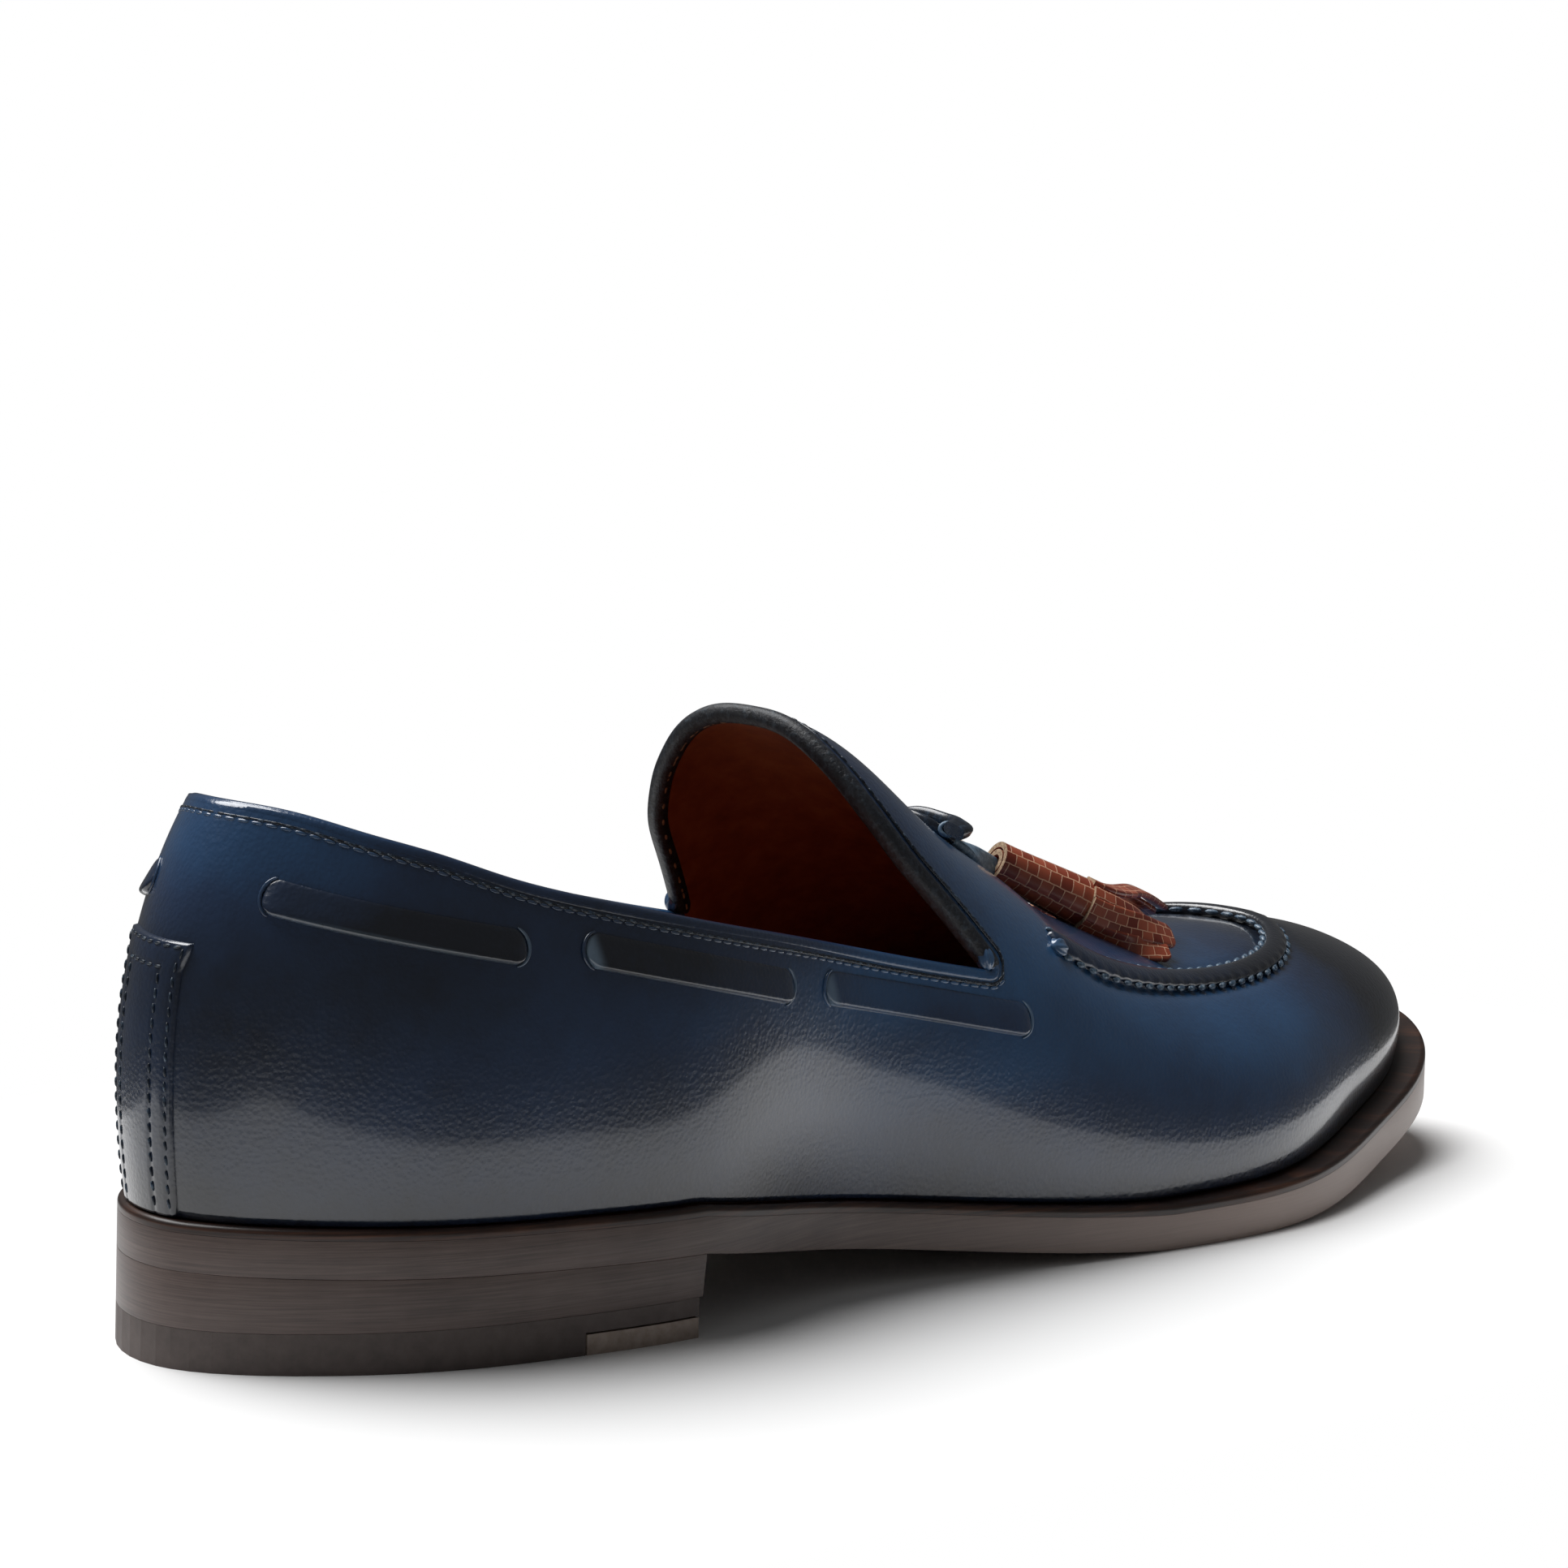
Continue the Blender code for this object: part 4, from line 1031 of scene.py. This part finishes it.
def makeRawEdge():
    line, out, toOpening, onTongue = rimFrame(-rimSpec["rawIn"])
    index = stretchWhere(onTongue > 0.5)
    path = line[index] - toOpening[index] * 0.6 * mm
    uneven = 1 + 0.25 * np.sin(np.arange(len(index)) * 1.7) * np.sin(np.arange(len(index)) * 0.53)
    uneven[[0, -1]] = 0.3
    points, faces = sweep(path, out[index], toOpening[index],
                          ovalProfile(rimSpec["rawRadius"], rimSpec["rawRadius"] * 1.3, 10), uneven)
    carry(meshObject("tongue.rawEdge", points, faces, [materials["raw"]]), "tan_lining")


def makeRimStitches():
    # a row 2.2 mm below the edge on the collar and 3.4 mm in on the tongue, in a groove that a sunk dark tube
    # fills as painted shade
    line, out, toOpening, onTongue = rimFrame(0.05 * mm)
    tongue = smoothStep(0.2, 0.9, onTongue)
    path = line - toOpening * (rimSpec["rowIn"] + rimSpec["rowInTongue"] * tongue)[:, None]
    # painted shade: a dark tube sunk along the stitch row stands for the shade in its groove
    groove, cells = sweep(path - out * rimSpec["grooveSunk"], out, toOpening,
                          ovalProfile(*rimSpec["groove"], 8), closed=True)
    carry(meshObject("collar.grooveShade", groove, cells, [materials["knot"]]), "navy_calf")
    ring = np.vstack([path, path[:1]])
    points, faces = stitchParts(ring, np.vstack([out, out[:1]]), rimStitch)
    carry(meshObject("collar.stitches", points, faces, [materials["darkThread"]]), "navy_calf")
    index = stretchWhere(tongue < 0.3)
    points, faces = stitchParts((path - toOpening * rimSpec["scallopIn"])[index], out[index], scallop)
    # painted highlight: the scallops get a little of the pale tone
    calfPiece("collar.scallops", points, faces, wearAndSheen=0.10)


def blobParts(centre, axes, radii, wrinkle=0.0):
    # ellipsoid on three axes, its radius waved round its long axis
    rings, steps = 16, 28
    polar = np.linspace(0.05, math.pi - 0.05, rings)
    turn = np.linspace(0, 2 * math.pi, steps, endpoint=False)
    swell = 1 + wrinkle * np.cos(6 * turn)[None, :] * np.sin(polar)[:, None]
    local = (np.cos(polar)[:, None] * np.ones(steps), np.sin(polar)[:, None] * np.cos(turn) * swell,
             np.sin(polar)[:, None] * np.sin(turn) * swell)
    points = centre + sum(part[..., None] * (axis * radius)
                          for part, axis, radius in zip(local, axes, radii))
    cells = gridFaces(rings, steps, closeColumns=True).tolist()
    cells += [list(range(steps))[::-1], list(range((rings - 1) * steps, rings * steps))]
    return points.reshape(-1, 3), cells


def makeThroatCorners():
    # the bar tack where collar and tongue edges meet: a shiny upright bead on each side, its shine partly a
    # painted highlight in the pale tone
    parts = []
    for side, x in throats.items():
        angle = collarAngle(x)
        centre = lastFace(x - 1.9 * mm, side, angle + 0.03, -0.45 * mm)
        out = lastNormal(x, side, angle)
        up = unit(lastPoint(x, side, angle + 0.02) - lastPoint(x, side, angle - 0.02))
        radii = (2.1 * mm, 1.35 * mm, 1.4 * mm)
        parts.append(blobParts(centre, (up, np.cross(up, out), out), radii, 0.16))
    points, faces = mergeParts(parts)
    # painted highlight: the beads get a little of the pale tone
    calfPiece("collar.corners", points, faces, wearAndSheen=0.12, weld=0.002 * mm)


makeRim()
makeRawEdge()
makeRimStitches()
makeThroatCorners()
print("rim made")

# lace bars: stretches of lace that come out of one slot and go into the next
barSpec = {"wide": 5.4 * mm, "topStand": 0.22 * mm, "lowStand": 1.45 * mm,
           "dive": 3.2 * mm, "steps": 90, "across": 26, "rimRadius": 0.32 * mm, "rimOut": 0.35 * mm,
           "rimTurn": 1.25, "rimSteps": 24}
# each side's bars: start and end, as share of length along the feather line and share of collarHeight
barRows = [(0.047, 0.852, 0.196, 0.744), (0.232, 0.734, 0.384, 0.607), (0.414, 0.594, 0.574, 0.470)]


def barPlace(row, side, along, across, distance):
    # along in metres from the start, across in metres up from the bar's middle line
    start, startHeight, end, endHeight = row
    length = (end - start) * last["soleLength"]
    fall = (endHeight - startHeight) * last["collarHeight"] / length
    height = startHeight * last["collarHeight"] + along * fall + across
    x = featherX(start * last["soleLength"] + along - across * fall, side)
    return lastFace(x, side, angleAt(x, height), distance)


def makeBar(name, side, row):
    # height over the calf: a tilted flat, low at its upper edge and high at its lower, that dives
    # into the slots at both ends as a quarter circle
    length = (row[2] - row[0]) * last["soleLength"]
    along = np.linspace(0, length, barSpec["steps"])
    fromEnd = np.minimum(along, length - along)
    half = barSpec["wide"] / 2 * roundOver(fromEnd, barSpec["wide"] / 2, 0.995)
    share = np.sin(np.linspace(-math.pi / 2, math.pi / 2, barSpec["across"]))
    across = share[None, :] * half[:, None]
    edge = np.sqrt(np.clip(1 - np.abs(share) ** 9, 0, 1))
    tilt = barSpec["topStand"] + (barSpec["lowStand"] - barSpec["topStand"]) * (1 - share) / 2
    top = (tilt * edge)[None, :] * roundOver(fromEnd, barSpec["dive"])[:, None] + 0.02 * mm
    upper = barPlace(row, side, along[:, None], across, top)
    lower = barPlace(row, side, along[:, None], across, np.full(top.shape, -0.4 * mm))
    bar = meshObject(name.replace("_", "."), *slab(upper, lower), [materials["calf"]],
                     weld=0.004 * mm, autoSharp=60)
    # the cut lower edge is painted pale, partly its own raw colour and partly a painted highlight where it
    # catches the light: measured down from the bar's middle line
    start, startHeight, end, endHeight = row
    local = coordinates(bar) - shift
    ends = barPlace(row, side, np.array([0.0, length]), np.zeros(2), np.zeros(2))
    part = np.clip((local[:, 0] - ends[0, 0]) / (ends[1, 0] - ends[0, 0]), 0, 1)
    below = ends[0, 2] + (ends[1, 2] - ends[0, 2]) * part - local[:, 2]
    pale = 0.12 * smoothStep(0.455, 0.50, below / barSpec["wide"])
    if start > 0.1:
        # the two front bars rise out of their rear slots with a shining slope, a painted highlight
        pale = pale + 0.5 * smoothStep(0.065, 0.02, part)
    finishCalf(bar, pale, darker=0.20)
    carry(bar, "navy_calf", name)
    # crescent lips of the slots, round both ends; the front lip is painted pale as a highlight, the rear one
    # barely
    rims = []
    turn = np.linspace(-barSpec["rimTurn"], barSpec["rimTurn"], barSpec["rimSteps"])
    for centre, way in ((barSpec["wide"] / 2, -1), (length - barSpec["wide"] / 2, 1)):
        radius = barSpec["wide"] / 2 + barSpec["rimOut"]
        arcAlong = centre + way * radius * np.cos(turn)
        arcAcross = radius * np.sin(turn)
        path = barPlace(row, side, arcAlong, arcAcross, np.full(len(turn), 0.10 * mm))
        above = barPlace(row, side, arcAlong, arcAcross, np.full(len(turn), 1.10 * mm))
        ahead = unit(np.gradient(path, axis=0))
        out = unit(above - path)
        taper = np.sqrt(np.clip(1 - (turn / 1.3) ** 2, 0.02, 1))
        rims.append(sweep(path, unit(np.cross(ahead, out)), out,
                          ovalProfile(barSpec["rimRadius"], barSpec["rimRadius"] * 0.9, 8), taper))
    points, faces = mergeParts(rims)
    # painted highlight: the front lip gets the pale tone
    calfPiece(name.replace("_", ".") + ".slots", points, faces,
              wearAndSheen=np.repeat((0.05, 0.40), len(points) // 2))


for sideName, side in sideSigns.items():
    for number, row in enumerate(barRows, 1):
        makeBar(f"lace_bar_{sideName}_{number}", side, row)
print("lace bars made")

# counter strap over the heel seam
strapSpec = {"offset": 6.5 * mm, "wide": 18.0 * mm, "thick": 0.95 * mm, "top": 66.0 * mm,
             "steps": (90, 130), "edge": 0.7 * mm, "rowIn": 0.9 * mm, "rowTwoIn": 4.2 * mm}
strapStitch = {"pitch": 2.3 * mm, "length": 1.6 * mm, "width": 0.5 * mm, "height": 0.5 * mm, "lean": 10}


def strapPlace(travel, height, distance):
    side = np.where(travel < 0, -1.0, 1.0)
    x = featherX(np.abs(travel), side)
    return lastFace(x, side, angleAt(x, height), distance)


def strapEdges(height):
    # the strap flares a little at its top
    flare = 1.3 * mm * smoothStep(strapSpec["top"] - 5 * mm, strapSpec["top"], height)
    half = strapSpec["wide"] / 2 + flare
    return strapSpec["offset"] - half, strapSpec["offset"] + half


def makeStrap():
    columns, rowsUp = strapSpec["steps"]
    share = np.linspace(0, 1, columns)
    low = float(upperBottom(0.0)) + 0.2 * mm
    height = np.linspace(low, strapSpec["top"], rowsUp)[:, None] * np.ones(columns)
    left, right = strapEdges(height)
    travel = left + (right - left) * share
    fromEdge = np.minimum(np.minimum(travel - left, right - travel), strapSpec["top"] - height)
    stand = strapSpec["thick"] * roundOver(fromEdge, strapSpec["edge"])
    # the rows of thread pull the leather down a little
    for inset in (strapSpec["rowIn"], strapSpec["rowTwoIn"]):
        stand = stand - 0.16 * mm * np.exp(-((fromEdge - inset) / (0.5 * mm)) ** 2)
    upper = strapPlace(travel, height, np.maximum(stand, 0) + 0.03 * mm)
    lower = strapPlace(travel, height, np.full(travel.shape, -0.4 * mm))
    calfPiece("heel.strap", *slab(upper, lower), "back_strap", weld=0.004 * mm)


def makeStrapStitches():
    low = float(upperBottom(0.0)) + 1.0 * mm
    rows = []
    for inset in (strapSpec["rowIn"], strapSpec["rowTwoIn"]):
        height = np.linspace(low, strapSpec["top"] - inset, 60)
        left, right = strapEdges(height)
        lead = left + inset
        tail = right - inset
        topTravel = np.linspace(lead[-1], tail[-1], 40)[1:-1]
        travel = np.concatenate([lead, topTravel, tail[::-1]])
        top = np.full(len(topTravel), strapSpec["top"] - inset)
        heights = np.concatenate([height, top, height[::-1]])
        path = strapPlace(travel, heights, np.full(len(travel), strapSpec["thick"] - 0.02 * mm))
        normal = unit(strapPlace(travel, heights, np.full(len(travel), 2 * mm)) - path)
        rows.append(stitchParts(path, normal, strapStitch))
    points, faces = mergeParts(rows)
    carry(meshObject("heel.strapStitches", points, faces, [materials["darkThread"]]), "navy_calf")


makeStrap()
makeStrapStitches()
print("heel strap made")

# raised apron seam, puckered by its stitches
seamSpec = {"halfWide": 1.9 * mm, "high": 1.2 * mm, "pucker": 0.14 * mm, "rowOut": 2.05 * mm,
            "rowIn": 2.1 * mm, "endRound": 3 * mm}
seamStitch = {"pitch": 3.4 * mm, "length": 2.6 * mm, "width": 1.35 * mm, "height": 0.95 * mm, "lean": 16,
              "stand": -0.02 * mm}


def makeSeam():
    path, out = apronPath(420)
    travel = lengths(path)
    across = np.linspace(-1, 1, 17)
    ends = roundOver(np.minimum(travel, travel[-1] - travel), seamSpec["endRound"])
    wave = 1 + seamSpec["pucker"] / seamSpec["high"] * np.cos(2 * math.pi * travel / seamStitch["pitch"])
    reach = (across * seamSpec["halfWide"])[None, :, None]
    plan = path[:, None] + out[:, None] * reach * (0.5 + 0.5 * ends)[:, None, None]
    flank = smoothStep(0.2, 0.9, across)[None, :]
    high = (0.25 + 0.75 * ends) * seamSpec["high"]
    rise = (np.sqrt(1 - across ** 2) ** 0.8)[None, :] * high[:, None]
    rise = rise * (1 + (wave - 1)[:, None] * flank)
    upper = overVamp(plan, rise + 0.02 * mm)
    lower = overVamp(plan, np.full(rise.shape, -1.0 * mm))
    calfPiece("apron.roll", *slab(upper, lower), "apron_seam", darker=0.45, weld=0.004 * mm)
    rows = []
    for offset, stand in ((seamSpec["rowOut"], 0.15 * mm), (-seamSpec["rowIn"], -0.05 * mm)):
        line = path + out * offset
        points = overVamp(line, np.full(len(line), stand))
        rows.append(stitchParts(points, vampNormal(line), seamStitch))
    points, faces = mergeParts(rows)
    carry(meshObject("apron.stitches", points, faces, [materials["thread"]]), "navy_calf")
    # wrinkled knobs where the roll starts, on both sides
    knobs = []
    for end, nextOne in ((0, 6), (-1, -7)):
        place = overVamp(path[end:][:1] + out[end:][:1] * 1.2 * mm, np.array([0.35 * mm]))[0]
        normal = vampNormal(path[end:][:1])[0]
        ahead = path[nextOne] - path[end]
        ahead = unit(np.array((ahead[0], ahead[1], 0.0)))
        ahead = unit(ahead - normal * ahead.dot(normal))
        radii = (2.1 * mm, 1.6 * mm, 1.2 * mm)
        knobs.append(blobParts(place, (ahead, np.cross(normal, ahead), normal), radii, 0.14))
    points, faces = mergeParts(knobs)
    calfPiece("apron.knobs", points, faces, wearAndSheen=0.15, weld=0.002 * mm)


makeSeam()
print("apron seam made")

# sole, welt and heel: fine solids with rounded corners, in place of the CAD's plain ones
soleSpec = {"corner": 0.06 * mm, "joint": 0.02 * mm, "breastSteps": 30, "weltRound": 1.0 * mm,
            "weltSteps": 9, "weltRaise": 0.3 * mm, "weltDip": 0.1 * mm, "weltFoot": 0.02 * mm,
            "weltInner": 0.4 * mm}


def heelOutline(frontX):
    # the sole's outline behind frontX, closed by a straight line across
    lines = []
    for side in (-1, 1):
        line = sideLine(soleLine, side)
        inside = line[(line[:, 0] > line[0, 0]) & (line[:, 0] < frontX)]
        lines.append(np.vstack([line[:1], inside, [[frontX, np.interp(frontX, *line.T)]]]))
    lateral, medial = lines
    breast = np.linspace(lateral[-1], medial[-1], soleSpec["breastSteps"])[1:-1]
    return np.vstack([lateral, breast, medial[::-1]])[:-1]


def slantBreast(outline, height, frontX):
    # the heel's breast leans forward as it rises, by heelSlant from the floor to the heel seat
    slack = last["heelSlant"] * (1 - np.clip(height / last["heelHeight"], 0, 1))
    lean = smoothStep(frontX - 12 * mm, frontX, outline[:, 0])
    return np.column_stack([outline[:, 0] - slack * lean, outline[:, 1]])


def makeBlock(name, outline, low, high, finish, slotName, node, slant=None):
    # rings round the edge: quarter-round corner, wall, quarter-round corner; each big face is a fan
    # of strips from the outline in to its own middle
    corner = soleSpec["corner"]
    rings = []
    for base, way in ((low, 1), (high, -1)):
        for turn in np.linspace(0, math.pi / 2, 5)[::way]:
            line = inward(outline, np.full(len(outline), corner * (1 - math.sin(turn))))
            height = base(outline[:, 0]) + way * corner * (1 - math.cos(turn))
            if slant is not None:
                line = slantBreast(line, height, slant)
            rings.append(np.column_stack([line, height]))
    centre = outline.mean(axis=0)
    for base, ringIndex in ((low, 0), (high, -1)):
        edge = rings[ringIndex][:, :2]
        inner = []
        for share in (0.9, 0.75, 0.5, 0.25, 0.02):
            plan = centre + (edge - centre) * share
            inner.append(np.column_stack([plan, base(plan[:, 0])]))
        rings = inner[::-1] + rings if ringIndex == 0 else rings + inner
    rings = np.stack(rings)
    count = len(outline)
    faces = gridFaces(len(rings), count, closeColumns=True).tolist()
    faces += [list(range(count))[::-1], list(range((len(rings) - 1) * count, len(rings) * count))]
    made = meshObject(name, rings.reshape(-1, 3), faces, [finish], weld=0.002 * mm, autoSharp=40)
    return carry(made, slotName, node)


def makeWelt():
    # ring: outer wall flush with the outsole, rounded outer corner, flat top that dips toward the upper
    margin, high, corner = marginAt(soleLine[:, 0]), last["weltHeight"], soleSpec["weltRound"]
    profile = [(0.0, soleSpec["weltFoot"]), (0.0, high - corner)]
    for turn in np.linspace(0, math.pi / 2, soleSpec["weltSteps"])[1:]:
        profile.append((corner * (1 - math.cos(turn)), high - corner * (1 - math.sin(turn))))
    profile += [(margin + soleSpec["weltInner"], high - soleSpec["weltDip"]),
                (margin + last["weltBand"], high - soleSpec["weltDip"]),
                (margin + last["weltBand"], soleSpec["weltFoot"])]
    rings = []
    base = soleBottom(soleLine[:, 0]) + last["outsoleThick"]
    for inset, rise in profile:
        # all but the foot stands higher, to close the gap that the CAD leaves under the upper
        height = base + rise + soleSpec["weltRaise"] * (rise > soleSpec["weltFoot"])
        rings.append(np.column_stack([inward(soleLine, np.zeros(len(soleLine)) + inset), height]))
    rings = np.stack(rings)
    faces = gridFaces(len(rings), len(soleLine), closeRows=True, closeColumns=True)
    made = meshObject("sole.welt", rings.reshape(-1, 3), faces, [materials["welt"]],
                      weld=0.002 * mm, autoSharp=50)
    carry(made, "welt_leather", "welt")


breastX = last["breast"] * last["soleLength"]


def outsoleTop(x):
    return soleBottom(x) + last["outsoleThick"]


def stackBottom(x):
    return np.full(np.shape(x), last["liftThick"] + 2 * soleSpec["joint"])


def stackTop(x):
    # the heel seat's own height, also at the breast itself
    return soleBottom(np.minimum(x, breastX - 0.001 * mm)) - soleSpec["joint"]


makeBlock("sole.outsole", soleLine, soleBottom, outsoleTop, materials["soleEdge"], "sole_leather",
          "outsole")
makeWelt()
makeBlock("heel.stack", heelOutline(breastX), stackBottom, stackTop, materials["soleEdge"],
          "sole_leather", "heel_stack", breastX)
nodes["top_lift"].material_slots[0].material = materials["lift"]
nodes["lift_front"].material_slots[0].material = materials["liftFront"]
nodes["insole"].material_slots[0].material = materials["lining"]
print("sole made")

# tassels: a sheet of embossed calf rolled up, its lower half cut into strips
tasselSpec = {"diameter": 8.4 * mm, "sheet": 1.0 * mm, "turns": 2.1, "core": 0.85 * mm,
              "stripThick": 1.1 * mm, "rootIn": 1.6 * mm, "flare": 0.20, "spiralStart": 2.2,
              "stripSides": 20, "stripSteps": 36, "tipRound": 0.9 * mm}
# head and end of the roll: share of length, share of ballWidth, middle over the vamp in mm
tasselRows = {
    "lateral": ((0.6185, -0.037, 2.7), (0.6730, -0.104, 2.4)),
    "medial": ((0.6230, 0.0535, 2.9), (0.6760, 0.112, 2.5)),
}
# strips: turn round the roll from its outer side, width in mm, share of length and of ballWidth of the
# tip, how high the tip's middle is over the vamp in mm, how far its face turns up (0 to 1)
stripRows = [
    (-98, 3.8, 0.733, 0.118, 0.8, 1.0), (-52, 4.2, 0.711, 0.196, 0.9, 0.7),
    (150, 3.6, 0.746, 0.050, 1.3, 1.0), (118, 3.4, 0.752, 0.056, 2.6, 0.5),
    (76, 4.3, 0.757, 0.060, 3.9, 0.15), (30, 2.6, 0.727, 0.140, 1.0, 0.60),
    (-10, 4.9, 0.7225, 0.168, 2.4, 0.55),
]


def millimetreMap(piece, places):
    # UV in millimetres, one place for each point of the mesh
    layer = piece.data.uv_layers.new(name="millimetres")
    corner = np.empty(len(piece.data.loops), np.int32)
    piece.data.loops.foreach_get("vertex_index", corner)
    layer.data.foreach_set("uv", (places[corner] / mm).astype(np.float32).ravel())


def makeTassel(sideName):
    way = sideSigns[sideName]
    headRow, bodyRow = tasselRows[sideName]
    radius = tasselSpec["diameter"] / 2
    head, body = vampPlaces([(x, y, clear * mm) for x, y, clear in (headRow, bodyRow)])
    up = np.array((0.45, 0.0, 0.89))
    axis = unit(body - head)
    across = unit(np.cross(axis, up)) * -way
    rise = np.cross(across, axis)
    length = np.linalg.norm(body - head)
    # roll: the sheet's middle line is a spiral, radius growing evenly with the turn
    steps, rows = 120, 26
    turn = np.linspace(0, 2 * math.pi * tasselSpec["turns"], steps)
    middle = tasselSpec["core"] + (radius - tasselSpec["sheet"] / 2 - tasselSpec["core"]) * turn / turn[-1]
    travel = lengths(np.stack([middle * np.cos(turn), middle * np.sin(turn)], axis=1))
    along = np.linspace(0, length, rows)
    flare = 1 + tasselSpec["flare"] * smoothStep(0.0, 1.0, along / length)
    grids, maps = [], []
    for side in (1, -1):
        ring = middle + side * tasselSpec["sheet"] / 2
        a = ring * np.cos(turn + tasselSpec["spiralStart"])
        b = ring * np.sin(turn + tasselSpec["spiralStart"])
        grids.append(head + axis * along[:, None, None]
                     + across * (a[None, :] * flare[:, None])[..., None]
                     + rise * (b[None, :] * flare[:, None])[..., None])
        maps.append(np.stack(np.broadcast_arrays(along[:, None], travel[None, :]), axis=-1))
    parts = [slab(*grids)]
    uvs = [np.concatenate([part.reshape(-1, 2) for part in maps + edgeStrips(*maps)])]
    # the sheet's faces and its lower edge are scaled, its three other edges raw
    sheetFaces = 2 * (rows - 1) * (steps - 1)
    slots = [0] * sheetFaces + [1] * (steps - 1) + [0] * (steps - 1) + [1] * (2 * (rows - 1))
    ringRadius = radius * (1 + tasselSpec["flare"]) - tasselSpec["stripThick"] / 2
    for turnBy, wide, x, y, clear, upturn in stripRows:
        # out of the roll's own side, then bending down to the tip; the face turns from the roll's
        # radius toward the vamp's normal as smoothStep
        radial = across * math.cos(math.radians(turnBy)) + rise * math.sin(math.radians(turnBy))
        tip = vampPlaces([(x, y * way, clear * mm)])[0]
        root = body - axis * tasselSpec["rootIn"] + radial * ringRadius
        rim = body + axis * 0.8 * mm + radial * ringRadius
        middle = (rim + tip) / 2 + (radial * 1.1 + axis * 0.3) * mm
        path = smoothPath(np.array([root, rim, middle, tip]), tasselSpec["stripSteps"])
        ahead = unit(np.gradient(path, axis=0))
        travel = lengths(path)
        share = travel / travel[-1]
        lift = vampNormal(tip[None, :2])[0]
        turned = upturn * smoothStep(0.15, 0.95, share)[:, None]
        facing = unit(radial * (1 - turned) + lift * turned)
        sideways = unit(np.cross(ahead, facing))
        over = np.cross(sideways, ahead)
        width = (0.90 + 0.10 * share) * roundOver(travel[-1] - travel, tasselSpec["tipRound"], 0.75)
        profile = ovalProfile(wide * mm / 2, tasselSpec["stripThick"] / 2, tasselSpec["stripSides"], 0.42)
        some, cells = sweep(path, sideways, over, profile, np.column_stack([width, np.ones(len(width))]))
        parts.append((some, cells))
        uvs.append(np.stack([np.repeat(travel, len(profile)) + x,
                             np.tile(profile[:, 0], len(path)) + wide * mm], axis=1))
        slots += [0] * (len(cells) - 2) + [1, 1]
    points, faces = mergeParts(parts)
    tassel = meshObject("tassel." + sideName, points, faces, [materials["scales"], materials["raw"]],
                        autoSharp=50, slots=slots)
    millimetreMap(tassel, np.concatenate(uvs))
    return carry(tassel, "red_brown_embossed_calf", "tassel_" + sideName)


tassels = {name: makeTassel(name) for name in sideSigns}
print("tassels made")

# floor, light and world
# the pale table top ends close to the shoe and the room around it is dim, so the polished calf shows
# the table as a silver band along its lower side; the backdrop that the camera looks at is white
studio = {
    "table": "#f4f4f4", "tableX": (-0.145, 0.405), "tableY": (-0.142, 0.170), "tableCorner": 0.03,
    "cornerSteps": 12, "backdrop": 1.0, "room": 0.085, "sun": 4.0, "sunAngle": 48, "sunTilt": (-26, -5),
}


def makeStudio():
    # rounded rectangle: each corner a quarter circle
    corner = studio["tableCorner"]
    turn = np.linspace(0, math.pi / 2, studio["cornerSteps"])
    rim = []
    for quarter, (xEnd, yEnd) in enumerate(((1, 1), (0, 1), (0, 0), (1, 0))):
        angle = turn + quarter * math.pi / 2
        x = studio["tableX"][xEnd] + (-corner if xEnd else corner) + corner * np.cos(angle)
        y = studio["tableY"][yEnd] + (-corner if yEnd else corner) + corner * np.sin(angle)
        rim.append(np.column_stack([x, y, np.zeros(len(turn))]))
    rim = np.vstack(rim)
    made, _, shader = newMaterial("pale table top", 0.7)
    shader.inputs["Specular IOR Level"].default_value = 0.0
    shader.inputs["Base Color"].default_value = linear(studio["table"])
    floor = meshObject("floor", rim, [list(range(len(rim)))], [made])
    data = bpy.data.lights.new("soft overhead light", "SUN")
    data.energy = studio["sun"]
    data.angle = math.radians(studio["sunAngle"])
    lamp = bpy.data.objects.new("soft overhead light", data)
    lamp.rotation_euler = [math.radians(a) for a in studio["sunTilt"]] + [0]
    bpy.context.scene.collection.objects.link(lamp)
    world = bpy.data.worlds.new("dim room, white backdrop")
    world.use_nodes = True
    tree = world.node_tree
    seen = addNode(tree, "ShaderNodeLightPath").outputs["Is Camera Ray"]
    level = addNode(tree, "ShaderNodeMapRange", None,
                    {"Value": seen, "To Min": studio["room"], "To Max": studio["backdrop"]})
    tree.links.new(level.outputs[0], tree.nodes["Background"].inputs["Strength"])
    tree.nodes["Background"].inputs["Color"].default_value = (1, 1, 1, 1)
    bpy.context.scene.world = world
    bpy.context.scene.view_settings.view_transform = "Standard"


makeStudio()
print("studio made")
